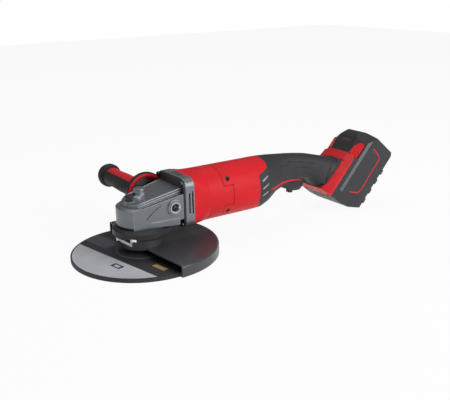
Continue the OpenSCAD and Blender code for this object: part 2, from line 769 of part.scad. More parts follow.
module bevel_pinion() color(steel) at_axis() {
    half_t = PI * gear_module / 4 - 0.12;
    depth = gear_module * 1.15;
    root_r = pinion_pitch_r - depth * sin(pitch_angle);
    root_x = gear_pitch_r + depth * cos(pitch_angle);
    difference() {
        union() {
            turned_x([
                [0, root_x * tooth_shrink], [root_r * tooth_shrink, root_x * tooth_shrink],
                [root_r + 0.2, root_x], [root_r - 0.6, root_x + 1.5], [root_r - 0.6, 44], [0, 44]]);
            for (i = [0 : pinion_teeth - 1]) rotate([360 * i / pinion_teeth, 0, 0])
                rotate([0, -pitch_angle, 0]) pinion_tooth(half_t, depth + 0.6);
        }
        cyl_x(pinion_bore_r, 0, 60);
    }
}

module pinion_tooth(half_t, depth)
    bevel_tooth([
        [depth, -half_t * 1.15], [0, -half_t], [-gear_module * 0.55, -half_t * 0.62], [-tip_height, -half_t * 0.3],
        [-tip_height, half_t * 0.3], [-gear_module * 0.55, half_t * 0.62], [0, half_t], [depth, half_t * 1.15]]);

module rotor_shaft() color(dark_steel) at_axis() {
    tip_x = gear_pitch_r * tooth_shrink + 2;
    tail_end_x = bracket_x + rear_bearing_w + 2;
    turned_x([
    [0, tip_x], [pinion_bore_r - 0.6, tip_x], [pinion_bore_r - seat_gap, tip_x + 1],
    [pinion_bore_r - seat_gap, 46], [shaft_r - run_gap, 47], [shaft_r - run_gap, tail_end_x - 1],
    [shaft_r - 1, tail_end_x], [0, tail_end_x]]);
}

magnet_count = 8;
magnet_r = rotor_r - 4.2;

module rotor_core() color([0.45, 0.46, 0.48]) at_axis() difference() {
    cyl_x(rotor_r, stator_x + 1, stator_x + stator_l - 1);
    cyl_x(shaft_r, stator_x, stator_x + stator_l);
    for (i = [0 : magnet_count - 1]) rotate([360 * i / magnet_count, 0, 0])
        translate([stator_x, -5.2, magnet_r - 1.6]) cube([stator_l, 10.4, 3.2]);
}

module rotor_magnets() color([0.6, 0.6, 0.62]) at_axis()
    for (i = [0 : magnet_count - 1]) rotate([360 * i / magnet_count, 0, 0])
        translate([stator_x + 1.5, -5, magnet_r - 1.4]) cube([stator_l - 3, 10, 2.8]);

module cooling_fan() color(black_shell) at_axis() {
    fan_r = 35;
    eye_r = 19;
    difference() {
        union() {
            cyl_x(fan_r, fan_x, fan_x + 1.6);
            cyl_x(9, fan_x, fan_x + fan_w);
            for (i = [0 : fan_blades - 1]) rotate([360 * i / fan_blades, 0, 0])
                translate([fan_x + 1, 0, eye_r - 3]) rotate([0, 0, 0]) fan_blade(fan_r - eye_r + 2);
        }
        cyl_x(shaft_r, fan_x - 1, fan_x + fan_w + 1);
    }
}

// A blade that curves back from the fan's eye to its rim
module fan_blade(reach) {
    bow_r = 26;
    intersection() {
        translate([0, bow_r, 2]) rotate([0, 90, 0]) difference() {
            cylinder(r = bow_r + 0.7, h = fan_w - 1);
            translate([0, 0, -1]) cylinder(r = bow_r - 0.7, h = fan_w + 1);
        }
        translate([0, -1, 0]) cube([fan_w - 1, bow_r, reach - 1]);
    }
}

module rotor_bearing_front() color(steel) at_axis()
    translate([housing_x - front_bearing_w / 2, 0, 0]) rotate([0, 90, 0])
        ball_bearing(shaft_r, front_bearing_r, front_bearing_w, 8);

module rotor_bearing_rear() color(steel) at_axis()
    translate([bracket_x + rear_bearing_w / 2, 0, 0]) rotate([0, 90, 0])
        ball_bearing(shaft_r, rear_bearing_r, rear_bearing_w, 7);

// ---- motor housing ----

// Side outline of the front housing, whose tabs reach back over the shells
module front_region(grow = 0)
    side_profile([
        [0, -50], [split_x + grow, -50], [split_x + grow, tab_z - tab_half_h - grow],
        [split_x + tab_l + grow, tab_z - tab_half_h - grow], [split_x + tab_l + grow, tab_z + tab_half_h + grow],
        [split_x + grow, tab_z + tab_half_h + grow], [split_x + grow, 200], [0, 200]], -100, 100);

housing_rows = [
    [housing_x, flange_mid_z - flange_h / 2, housing_x, flange_mid_z + flange_h / 2, flange_w / 2, 6],
    [housing_x + 5, flange_mid_z - flange_h / 2, housing_x + 5, flange_mid_z + flange_h / 2, flange_w / 2, 6],
    [housing_x + 14, flange_mid_z - flange_h / 2 - 2, housing_x + 14, flange_mid_z + flange_h / 2 - 0.6, flange_w / 2 + 0.2, 4],
    [housing_x + 23, axis_z - barrel_r + 2, housing_x + 23, axis_z + barrel_r - 2, barrel_r - 0.4, 2.7],
    [housing_x + 31, axis_z - seam_r, housing_x + 31, axis_z + seam_r, seam_r, 2],
    [housing_x + 31 + seam_l, axis_z - seam_r, housing_x + 31 + seam_l, axis_z + seam_r, seam_r, 2]
];

module motor_housing() color(red_shell) difference() {
    union() {
        loft([for (row = housing_rows) loft_ring(row)]);
        intersection() {
            at_axis() cyl_x(barrel_r, housing_x + 31, split_x + tab_l + 10);
            front_region();
        }
    }
    // bore for the motor, narrower where it grips the stator
    at_axis() {
        cyl_x(stator_r + seat_gap, housing_x - 1, big);
        difference() {
            cyl_x(barrel_r - shell_t, stator_x + stator_l * 0.45, big);
            for (i = [0 : 7]) rotate([45 * i + 22.5, 0, 0])
                translate([0, -2, 0]) cube([stator_x + stator_l - 2, 4, barrel_r - 1]);
        }
    }
    at_corner_screws() cyl_x(2.4 + seat_gap, housing_x - 1, flange_x + 27);
}

module stator_core() color([0.42, 0.43, 0.45]) at_axis() difference() {
    yoke = 4.5;
    tooth_w = 5;
    union() {
        difference() {
            cyl_x(stator_r, stator_x, stator_x + stator_l);
            cyl_x(stator_r - yoke, stator_x - 1, stator_x + stator_l + 1);
        }
        for (i = [0 : stator_slots - 1]) rotate([360 * i / stator_slots, 0, 0])
            translate([stator_x, -tooth_w / 2, rotor_r + 1.5])
                cube([stator_l, tooth_w, stator_r - rotor_r - 4]);
        difference() {
            cyl_x(rotor_r + 2.6, stator_x, stator_x + stator_l);
            for (i = [0 : stator_slots - 1]) rotate([360 * (i + 0.5) / stator_slots, 0, 0])
                translate([stator_x - 1, -1.4, 0]) cube([stator_l + 2, 2.8, 40]);
        }
    }
    cyl_x(rotor_r + 0.7, stator_x - 1, stator_x + stator_l + 1);
}

module stator_windings() color(copper) at_axis() {
    coil_in = rotor_r + 3;
    coil_out = stator_r - 5.2;
    for (i = [0 : stator_slots - 1]) rotate([360 * i / stator_slots, 0, 0]) difference() {
        translate([stator_x - winding_over, -5.4, coil_in]) cube([stator_l + 2 * winding_over, 10.8, coil_out - coil_in]);
        translate([stator_x - 0.4, -2.9, coil_in - 1]) cube([stator_l + 0.8, 5.8, coil_out - coil_in + 2]);
    }
}

module motor_end_bracket() color(black_shell) at_axis() {
    spoke_w = 7;
    rim_r = barrel_r - shell_t - seat_gap;
    difference() {
        union() {
            difference() {
                cyl_x(rim_r, bracket_x, bracket_x + bracket_t);
                cyl_x(rim_r - 3, bracket_x - 1, bracket_x + bracket_t + 1);
            }
            cyl_x(rear_bearing_r + 3, bracket_x, bracket_x + rear_bearing_w + 4);
            for (a = [0 : 60 : 300]) rotate([a, 0, 0]) translate([bracket_x, -spoke_w / 2, 8])
                cube([8, spoke_w, rim_r - 9]);
        }
        cyl_x(rear_bearing_r + seat_gap, bracket_x - 1, bracket_x + rear_bearing_w);
        cyl_x(shaft_r + 2, bracket_x, bracket_x + 20);
    }
}

// ---- rear shells ----

// Plane where the grip meets the battery foot, in the pack's own frame
foot_front = [[-27, foot_u0 + 1], [-14, 62]];
flare_half_w = 28;

function pack_to_tool(w, u) = [pack_x + w * cos(pack_lean) + u * sin(pack_lean),
                               pack_z - w * sin(pack_lean) + u * cos(pack_lean)];

flare_low = pack_to_tool(foot_front[0][0], foot_front[0][1]);
flare_high = pack_to_tool(foot_front[1][0], foot_front[1][1]);
tail_rows = concat(handle_rows, [[flare_low[0], flare_low[1], flare_high[0], flare_high[1], flare_half_w, 3]]);

module tail_solid(inset = 0) {
    loft([for (row = tail_rows) loft_ring(row, inset)]);
}

module tail_shell() difference() {
    union() {
        at_axis() cyl_x(barrel_r, split_x, tail_x);
        tail_solid();
    }
    at_axis() cyl_x(barrel_r - shell_t, split_x - 1, tail_x + 0.1);
    tail_solid(shell_t);
}

// Ribs under the control module, one half in each barrel shell
module module_ribs(side) {
    half_w = 12;
    depth = module_z - axis_z + barrel_r - 0.75 * shell_t;
    for (x = [module_x + 8, module_x + 26])
        translate([x, side > 0 ? 0 : -half_w, module_z - depth]) cube([rib_t, half_w, depth]);
}

// Ribs that hold the switch between the grip shells
module switch_ribs() {
    reach = grip_half_w - switch_half_w - 0.55 * shell_t;
    for (x = [switch_x + 4, switch_x + 24])
        translate([x, -switch_half_w - reach, switch_z]) cube([rib_t, reach, switch_h]);
}

// Side outline of the red section, with its tongue over the top
module red_region() side_profile([
    [split_x - 1, -50], [218, -50], [216, 36], [212, 48], [207, 62], [206, 80], [206, 103], [209, 106],
    [230, 114], [232, 118], [231, 200], [split_x - 1, 200]], -100, 100);

module half_space(side) translate([-big / 2, side > 0 ? 0 : -big, -big / 2]) cube(big);

module shell_bosses(side) intersection() {
    for (sz = [-1, 1]) translate([shell_screw_x, 0, axis_z + sz * shell_screw_dz]) cyl_y(3.8, -37, 37);
    half_space(side);
    at_axis() cyl_x(barrel_r - 1, split_x, tail_x);
}

module shell_screw_holes() for (sz = [-1, 1]) translate([shell_screw_x, 0, axis_z + sz * shell_screw_dz]) {
    cyl_y(2, -60, 20);
    cyl_y(4.1, -60, -30.5);
}

module barrel_shell(side) color(red_shell) difference() {
    intersection() {
        union() {
            intersection() {
                tail_shell();
                half_space(side);
            }
            shell_bosses(side);
            module_ribs(side);
        }
        red_region();
    }
    front_region();
    shell_screw_holes();
}

module barrel_shell_left() barrel_shell(-1);
module barrel_shell_right() barrel_shell(1);

module shell_screws() color(dark_steel)
    for (sz = [-1, 1]) translate([shell_screw_x, 0, axis_z + sz * shell_screw_dz]) {
        difference() {
            cyl_y(3.9, -33.7, -30.5);
            cyl_y(1.9, -40, -32);
        }
        cyl_y(2 - seat_gap, -30.5, 18);
    }

slot_rows = 3;
slot_first_z = 71.5;
slot_pitch = 13.2;
slot_x = 219.5;
slot_l = 16;
slot_h = 3.4;
slot_rise = 26;

module at_vent_slots() for (i = [0 : slot_rows - 1])
    translate([slot_x, 0, slot_first_z + i * slot_pitch]) rotate([0, -slot_rise, 0]) children();

module grip_shell_left() color(black_rubber) difference() {
    union() {
        intersection() {
            tail_shell();
            half_space(-1);
        }
        switch_ribs();
    }
    red_region();
    at_vent_slots() translate([-slot_l / 2, -60, -slot_h / 2]) cube([slot_l, 120, slot_h]);
    // mouth for the trigger paddle
    translate([paddle_hinge[0] - 8, -paddle_half_w - 0.8, 40]) cube([50, 2 * paddle_half_w + 1.6, 38]);
    translate([paddle_hinge[0], 0, paddle_hinge[1]]) cyl_y(pin_r, -pin_half_l - part_gap, pin_half_l + part_gap);
}

module grip_shell_right() mirror([0, 1, 0]) grip_shell_left();

module vent_screens() color([0.62, 0.62, 0.63]) intersection() {
    at_vent_slots() for (side = [-1, 1])
        translate([-slot_l / 2 + seat_gap, side * 40 - 10, -slot_h / 2 + seat_gap])
            cube([slot_l - 2 * seat_gap, 20, slot_h - 2 * seat_gap]);
    difference() {
        tail_solid(0.8);
        tail_solid(2.4);
    }
}

// Thin trim along each side of the trigger's mouth
module grip_lip() color(red_shell) {
    lip_half();
    mirror([0, 1, 0]) lip_half();
}

module lip_half() difference() {
    proud = 1;
    intersection() {
        tail_solid(-proud);
        side_profile([[262, 40], [262, 66], [280, 66.3], [300, 69.5], [312, 70.1], [312, 40]], -grip_half_w, 0);
    }
    tail_solid();
    side_profile([[230, 40], [230, 61], [262, 61], [275, 64.5], [300, 67.5], [340, 69], [340, 40]], -3, 3);
    translate([paddle_hinge[0] - 8, -paddle_half_w - 0.8, 40]) cube([60, 2 * paddle_half_w + 1.6, 38]);
}

// ---- trigger ----

module trigger_paddle() color(black_shell) {
    paddle_shell();
    // pin that the lock-off lever swings on
    translate([lever_hinge[0], 0, lever_hinge[1]]) cyl_y(lever_pin_r - run_gap, -5, 5);
}

module paddle_shell() difference() {
    intersection() {
        side_profile([
            [paddle_hinge[0] - 6, 65], [paddle_hinge[0] - 4, 61.5], [296, 57.2], [304, 53.6], [314, 51.6],
            [323, 51.6], [327, 54], [329.5, 60], [330, 73], [296, 75], [paddle_hinge[0] + 3, 78],
            [paddle_hinge[0] - 3, 78], [paddle_hinge[0] - 6, 75]], -paddle_half_w, paddle_half_w);
        // rounded belly
        union() {
            translate([0, 0, 51.4 + paddle_half_w]) cyl_x(paddle_half_w, 200, 400);
            translate([200, -paddle_half_w, 51.4 + paddle_half_w]) cube([200, 2 * paddle_half_w, 60]);
            translate([200, -paddle_half_w + 3, 51.4]) cube([200, 2 * paddle_half_w - 6, 60]);
        }
    }
    translate([paddle_hinge[0], 0, paddle_hinge[1]]) cyl_y(pin_r + run_gap, -20, 20);
    // hollow above, and the slot of the lock-off lever
    translate([297, -paddle_half_w + 2.5, 66]) cube([30, 2 * paddle_half_w - 5, 20]);
    translate([293.5, -4.5, 40]) cube([19.5, 9, 27]);
}

module paddle_pin() color(steel) translate([paddle_hinge[0], 0, paddle_hinge[1]]) cyl_y(pin_r - seat_gap, -pin_half_l, pin_half_l);

module lock_off_lever() color(black_shell) translate([lever_hinge[0], 0, lever_hinge[1]]) {
    half_w = 4;
    difference() {
        union() {
            cyl_y(3.2, -half_w, half_w);
            side_profile([[-3.1, 0], [-4.6, -10], [-3.6, -12], [3.4, -12.6], [4.6, -11], [3.1, 0]], -half_w, half_w);
        }
        cyl_y(lever_pin_r, -half_w - 1, half_w + 1);
    }
}

module trigger_switch() color([0.2, 0.2, 0.22]) {
    plunger_r = 2.4;
    translate([switch_x, -switch_half_w, switch_z]) cube([32, 2 * switch_half_w, switch_h]);
    translate([switch_x + 10, 0, switch_z - 3.2]) cylinder(r = plunger_r, h = 4);
    for (x = [switch_x + 5, switch_x + 21]) translate([x, -3, switch_z + switch_h]) cube([4, 6, 3]);
}

module control_module() color([0.25, 0.25, 0.27]) {
    base_h = 17;
    fins = 5;
    translate([module_x, -26, module_z]) cube([40, 52, base_h]);
    for (i = [0 : fins - 1]) translate([module_x + 2 + 8 * i, -24, module_z + base_h]) cube([3, 48, 7]);
}

// ---- battery foot ----

// One cross-section of the foot, from its front flat to its widest at a given depth
module foot_section(u, front, front_half, side_depth) translate([0, 0, u]) linear_extrude(0.5) polygon([
    [-0.8, -pack_w / 2], [-side_depth, -pack_w / 2], [-front, -front_half],
    [-front, front_half], [-side_depth, pack_w / 2], [-0.8, pack_w / 2]]);

module foot_blank() intersection() {
    hull() {
        foot_section(foot_u0, -foot_front[0][0], flare_half_w + 1, 14);
        foot_section(foot_front[1][1], -foot_front[1][0] + 0.5, flare_half_w + 0.4, 9.5);
        foot_section(foot_u1 + foot_lean * front_w, front_w, front_half_y + 2, 6);
    }
    // the upper end leans to match the pack's tower
    side_profile([[-40, -20], [5, -20], [5, foot_u1 - foot_lean * 5], [-40, foot_u1 + foot_lean * 40]], -60, 60);
}

// Cheeks of the pack, which reach forward past each side of the foot
module pack_cheeks(gap) for (side = [-1, 1]) mirror([0, side > 0 ? 0 : 1, 0])
    side_profile([[2, foot_u0 + 0.5 - 4 * gap], [-cheek_w - gap, foot_u0 + 0.5 - 4 * gap], [-cheek_w - gap, foot_u1 + foot_lean * cheek_w - 0.4 + 4 * gap],
                  [2, foot_u1 + 4]], pack_w / 2 - cheek_t - gap, pack_w / 2 + 4 * gap);

module rail_space(side, gap) {
    y0 = side * (rail_y + rail_stem / 2);
    translate([-rail_h / 2 - gap, y0 - rail_stem / 2 - gap, foot_u0 - 1]) cube([rail_h, rail_stem + 2 * gap, 100]);
    head_mid = side * (rail_y + rail_head / 2);
    translate([-rail_h - gap, head_mid - rail_head / 2 - gap, foot_u0 - 1])
        cube([rail_h - rail_lip + 2 * gap, rail_head + 2 * gap, 100]);
}

module battery_foot() color(red_shell) difference() {
    at_pack() difference() {
        foot_blank();
        // the grip's end seats against the leaning front
        side_profile([[foot_front[0][0] - 30, foot_front[0][1] - 40], [foot_front[0][0], foot_front[0][1] - 40],
                      [foot_front[0][0], foot_front[0][1]], [foot_front[1][0], foot_front[1][1]],
                      [foot_front[1][0] - 30, foot_front[1][1]]], -60, 60);
        for (side = [-1, 1]) rail_space(side, slide_gap);
        pack_cheeks(part_gap);
        // pocket of the terminal block, open to the grip
        translate([-40, -blade_y - 8, 14]) cube([60, 2 * blade_y + 16, 34]);
    }
}

module terminal_block() color(black_shell) at_pack() {
    translate([-11, -blade_y - 7.9, 14.1]) cube([9.5, 2 * blade_y + 15.8, 33.8]);
    for (i = [-1 : 1]) translate([-1.6, i * blade_y - 0.5, 18]) cube([8, 1, 24]);
}

// ---- battery pack ----

// Side outline of the pack in its own frame: depth against length
pack_outline = [
    [0, foot_u0 + 0.5], [20, foot_u0 + 1.5], [45, -3], [66, 8], [heel_w, heel_u], [heel_w - 3, heel_u + 6],
    [heel_w - 4, 36], [heel_w - 2.6, 37], [heel_w - 4, 58], [heel_w - 2.6, 59], [heel_w - 4, 80],
    [heel_w - 2.6, 81], [heel_w - 3.5, 102], [heel_w + 0.5, 112], [heel_w + 0.5, 126], [heel_w - 10, pack_l + 2],
    [deck_w, pack_l], [0, pack_l - 1]];

module pack_blank() intersection() {
    side_profile(pack_outline, -pack_w / 2, pack_w / 2);
    // long edges are rounded off
    translate([0, 0, -30]) linear_extrude(200) union() {
        translate([-20, -pack_w / 2]) square([heel_w + 11, pack_w]);
        translate([-20, -pack_w / 2 + 9]) square([heel_w + 21, pack_w - 18]);
        for (side = [-1, 1]) translate([heel_w - 9, side * (pack_w / 2 - 9)]) circle(9.4);
    }
}

module pack_tower() intersection() {
    translate([0, 0, foot_u1 - 20]) linear_extrude(pack_l + 2 - foot_u1 + 20) polygon([
        [deck_w, -pack_w / 2], [1, -pack_w / 2], [-front_w, -front_half_y - 2], [-front_w, front_half_y + 2],
        [1, pack_w / 2], [deck_w, pack_w / 2]]);
    side_profile([[-front_w, foot_u1 + foot_lean * front_w + part_gap + 0.1], [0, foot_u1 + part_gap + 0.1], [deck_w, foot_u1 + part_gap + 0.1],
                  [deck_w, pack_l], [2, pack_l - 0.5],
                  [-5, pack_l - 4], [-10, pack_l - 11], [-front_w, pack_l - 19]], -60, 60);
}

module pack_upper_case() color(black_shell) at_pack() difference() {
    union() {
        intersection() {
            pack_blank();
            translate([0, -60, -40]) cube([deck_w, 120, 220]);
        }
        pack_tower();
        pack_cheeks(0);
        intersection() {
            for (side = [-1, 1]) rail_space(side, 0);
            translate([-rail_h, -60, foot_u0 + 2]) cube([rail_h + 1, 120, foot_u1 - foot_u0 - 6]);
        }
    }
    // slots for the tool's terminals, open towards the pack's foot
    for (i = [-1 : 1]) translate([-1, i * blade_y - 1.1, foot_u0 - 5]) cube([8.4, 2.2, 60]);
    // pockets of the latch buttons and the charge gauge
    for (side = [-1, 1]) at_latch(side) latch_shape(part_gap, 12);
    at_gauge() translate([-4, -14, -5]) cube([20, 28, 10]);
    // board space under the deck
    translate([deck_w - 1.6, -30, 10]) cube([10, 60, 100]);
}

module at_latch(side) mirror([0, side > 0 ? 0 : 1, 0])
    translate([-5.5, 31.5, latch_u]) rotate([0, 0, 59.6]) children();

// Outline of a latch button, seen square on to the chamfered shoulder
module latch_shape(gap, depth) rotate([90, 0, 0]) translate([0, 0, -3]) linear_extrude(depth + 3)
    polygon([[-9 - gap, -9 - gap], [-7 - gap, 5], [0, 16 + gap], [8 + gap, 17.5 + gap],
             [10 + gap, 13], [9.4 + gap, -16 - gap], [2, -13.5 - gap]]);

module pack_latch(side) color(red_shell) at_pack() at_latch(side) latch_shape(0, 4);

module pack_latch_left() pack_latch(-1);
module pack_latch_right() pack_latch(1);

module at_gauge() translate([-front_w, 0, pack_l - 29]) children();

module gauge_button() color([0.6, 0.6, 0.62]) at_pack() at_gauge() translate([0.2, -13.6, -4.6]) cube([3.5, 27.2, 9.2]);

module pack_lower_case() color(black_shell) at_pack() difference() {
    intersection() {
        pack_blank();
        translate([deck_w, -60, -40]) cube([100, 120, 220]);
    }
    intersection() {
        translate([deck_w - 1, -pack_w / 2 + 4, 0]) cube([heel_w - deck_w - 5.5, pack_w - 8, 200]);
        side_profile([[0, -2], [22, -2], [44, -0.5], [66, 11], [heel_w, heel_u + 4], [heel_w, pack_l - 6],
                      [0, pack_l - 4]], -60, 60);
    }
}

cell_pitch = 2 * cell_r + 0.5;
cell_rows = 3;
cell_row_w = deck_w + 12.6;

module pack_cells() color([0.3, 0.45, 0.6]) at_pack()
    for (row = [0 : cell_rows - 1], i = [0 : row_cells - 1])
        translate([cell_row_w + row * cell_pitch * sin(60), 0, 20.6 + (i + (row % 2) / 2) * cell_pitch])
            cyl_y(cell_r, -cell_l / 2, cell_l / 2);

module pack_board() color([0.1, 0.35, 0.2]) at_pack() translate([deck_w - 1.5, -29, 12]) cube([1.6, 58, 96]);

// ---- side handle ----

module handle_stud() color(steel) at_side_handle() {
    cyl_y(stud_r, boss_y - socket_l + 1.5, side_hub_y);
    cyl_y(9, side_hub_y, side_hub_y + 5);
    cyl_y(5, side_hub_y + 5, side_grip_y + side_grip_l * 0.55);
}

module handle_flange() color(black_shell) at_side_handle() {
    rim_w = 1.6;
    difference() {
        turned_y([
            [5 + seat_gap, side_hub_y + 5], [13, side_hub_y + 5], [14.5, side_flange_y],
            [side_flange_r - 10, side_flange_y + 3.6], [side_flange_r - rim_w, side_flange_y],
            [side_flange_r, side_flange_y], [side_flange_r, side_flange_y + side_flange_t - 3],
            [side_flange_r - 4, side_grip_y], [5 + seat_gap, side_grip_y]]);
        turned_y([
            [side_flange_r - 9 - seat_gap, side_flange_y - 1], [side_flange_r - rim_w + seat_gap, side_flange_y - 1],
            [side_flange_r - rim_w + seat_gap, side_flange_y + 5], [side_flange_r - 9 - seat_gap, side_flange_y + 5]]);
    }
}

module handle_ring() color(red_shell) at_side_handle() turned_y([
    [side_flange_r - 9, side_flange_y + 1.6], [side_flange_r - 5, side_flange_y - 0.4],
    [side_flange_r - 1.6, side_flange_y + 0.4], [side_flange_r - 1.6, side_flange_y + 5],
    [side_flange_r - 9, side_flange_y + 5]]);

module grip_profile() polygon([
    [5 + seat_gap, side_grip_y], [side_grip_r + 1.4, side_grip_y], [side_grip_r + 0.6, side_grip_y + 8],
    [side_grip_r, side_grip_y + 30], [side_grip_r + 0.6, side_grip_y + side_grip_l * 0.55],
    [side_grip_r - 0.8, side_cap_y - 14], [side_grip_r + 0.4, side_cap_y], [5 + seat_gap, side_cap_y]]);

// Wedge of the handle that the inlay fills, about the upward direction
module inlay_wedge(half_angle, gap) intersection() {
    cyl_y(side_grip_r + 4, side_grip_y + 3 - gap, side_cap_y - 6 + gap);
    side_profile([[0, 0], [-40 * tan(half_angle), 40], [40 * tan(half_angle), 40]], side_grip_y, side_cap_y);
    difference() {
        translate([0, 0, 10]) side_profile([[-40, 0], [40, 0], [40, 40], [-40, 40]], side_grip_y, side_cap_y);
        cyl_y(side_grip_r - 3, side_grip_y - 1, side_cap_y + 1);
    }
}

module handle_grip() color(black_rubber) at_side_handle() difference() {
    groove_pitch = 6;
    rotate([-90, 0, 0]) rotate_extrude() grip_profile();
    inlay_wedge(inlay_angle, 0);
    // ribbed sides
    for (y = [side_grip_y + 14 : groove_pitch : side_cap_y - 20])
        translate([0, y, 0]) difference() {
            cyl_y(side_grip_r + 3, 0, 1.6);
            cyl_y(side_grip_r - 0.9, -1, 3);
            translate([-40, -2, 6]) cube([80, 6, 40]);
        }
}

module handle_inlay() color(red_shell) at_side_handle() intersection() {
    rotate([-90, 0, 0]) rotate_extrude() grip_profile();
    inlay_wedge(inlay_angle, 0);
}

module handle_cap() color(black_rubber) at_side_handle() turned_y([
    [0, side_cap_y], [side_cap_r - 3, side_cap_y], [side_cap_r, side_cap_y + 4],
    [side_cap_r, side_cap_y + 11], [side_cap_r - 2, side_cap_y + 17],
    [side_cap_r - 7, side_cap_y + side_cap_l - 1.5], [side_cap_r - 12, side_cap_y + side_cap_l],
    [0, side_cap_y + side_cap_l]]);

gear_case();
handle_inserts();
flange_bezel();
flange_plate();
housing_screws();
gear_case_screws();
bearing_retainer();
retainer_screws();
spindle_seal();
spindle_bearing_lower();
spindle_bearing_upper();
spindle();
bevel_gear();
inner_flange();
grinding_disc();
lock_nut();
lock_button();
lock_spring();
guard();
guard_collar();
guard_lever();
bevel_pinion();
rotor_shaft();
rotor_core();
rotor_magnets();
cooling_fan();
rotor_bearing_front();
rotor_bearing_rear();
motor_housing();
stator_core();
stator_windings();
motor_end_bracket();
barrel_shell_left();
barrel_shell_right();
grip_shell_left();
grip_shell_right();
shell_screws();
vent_screens();
grip_lip();
trigger_paddle();
paddle_pin();
lock_off_lever();
trigger_switch();
control_module();
battery_foot();
terminal_block();
pack_upper_case();
pack_lower_case();
pack_cells();
pack_board();
pack_latch_left();
pack_latch_right();
gauge_button();
handle_stud();
handle_flange();
handle_ring();
handle_grip();
handle_inlay();
handle_cap();
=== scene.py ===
"""Looks of a cordless angle grinder: finishes, dressed pieces, studio and camera."""

import json
import logging
import math
from dataclasses import dataclass, field
from enum import Enum

import bmesh
import bpy
from mathutils import Matrix, Vector


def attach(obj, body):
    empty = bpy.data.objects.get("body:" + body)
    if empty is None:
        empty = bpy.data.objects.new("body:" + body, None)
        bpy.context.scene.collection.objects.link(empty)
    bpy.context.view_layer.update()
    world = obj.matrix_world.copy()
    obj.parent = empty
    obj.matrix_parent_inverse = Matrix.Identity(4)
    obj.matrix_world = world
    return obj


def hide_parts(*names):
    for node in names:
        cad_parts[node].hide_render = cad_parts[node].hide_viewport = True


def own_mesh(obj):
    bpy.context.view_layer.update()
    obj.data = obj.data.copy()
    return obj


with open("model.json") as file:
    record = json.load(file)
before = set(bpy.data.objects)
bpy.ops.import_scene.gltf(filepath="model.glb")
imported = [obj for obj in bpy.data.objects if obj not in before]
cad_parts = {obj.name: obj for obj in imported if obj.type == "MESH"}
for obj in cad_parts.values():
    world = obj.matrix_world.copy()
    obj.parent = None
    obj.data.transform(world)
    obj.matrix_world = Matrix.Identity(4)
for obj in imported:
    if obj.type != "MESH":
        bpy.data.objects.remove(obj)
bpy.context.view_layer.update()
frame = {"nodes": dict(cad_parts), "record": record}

LOG = logging.getLogger("grinder")
Colour = tuple[float, float, float]
Point = tuple[float, float, float]
Spot = tuple[float, float]
Line = tuple[Spot, ...]
Cut = tuple[Vector, Vector]
Socket = bpy.types.NodeSocket


def linear(hex_code: str) -> Colour:
    """Turns a display colour into the linear one that shaders take.

    Args:
        hex_code: six hexadecimal digits, such as "c4122f".

    Returns:
        Red, green and blue between 0 and 1.
    """
    channels = [int(hex_code[i:i + 2], 16) / 255 for i in (0, 2, 4)]
    return tuple(c / 12.92 if c <= 0.04045 else ((c + 0.055) / 1.055) ** 2.4 for c in channels)


def shaded(colour: Colour, share: float) -> Colour:
    """Returns a darker colour, which keeps the given share of the first one's light."""
    return tuple(channel * share for channel in colour)


class Body(str, Enum):
    """The rigid bodies of the frame that pieces ride on."""

    MACHINE = "machine"
    SPINDLE = "spindle"
    GUARD = "wheel_guard"
    CLAMP = "guard_clamp"
    LOCK = "spindle_lock"
    PADDLE = "paddle"
    LOCK_OFF = "lock_off"
    BATTERY = "battery"
    LATCH_LEFT = "latch_left"
    LATCH_RIGHT = "latch_right"
    GAUGE = "gauge"
    HANDLE = "side_handle"


class Slot(str, Enum):
    """The material slots of pieces that no frame node stands for."""

    CASE = "case_paint"
    RED = "red_plastic"
    BLACK = "black_plastic"
    RUBBER = "grip_rubber"
    GAUGE = "gauge_grey"


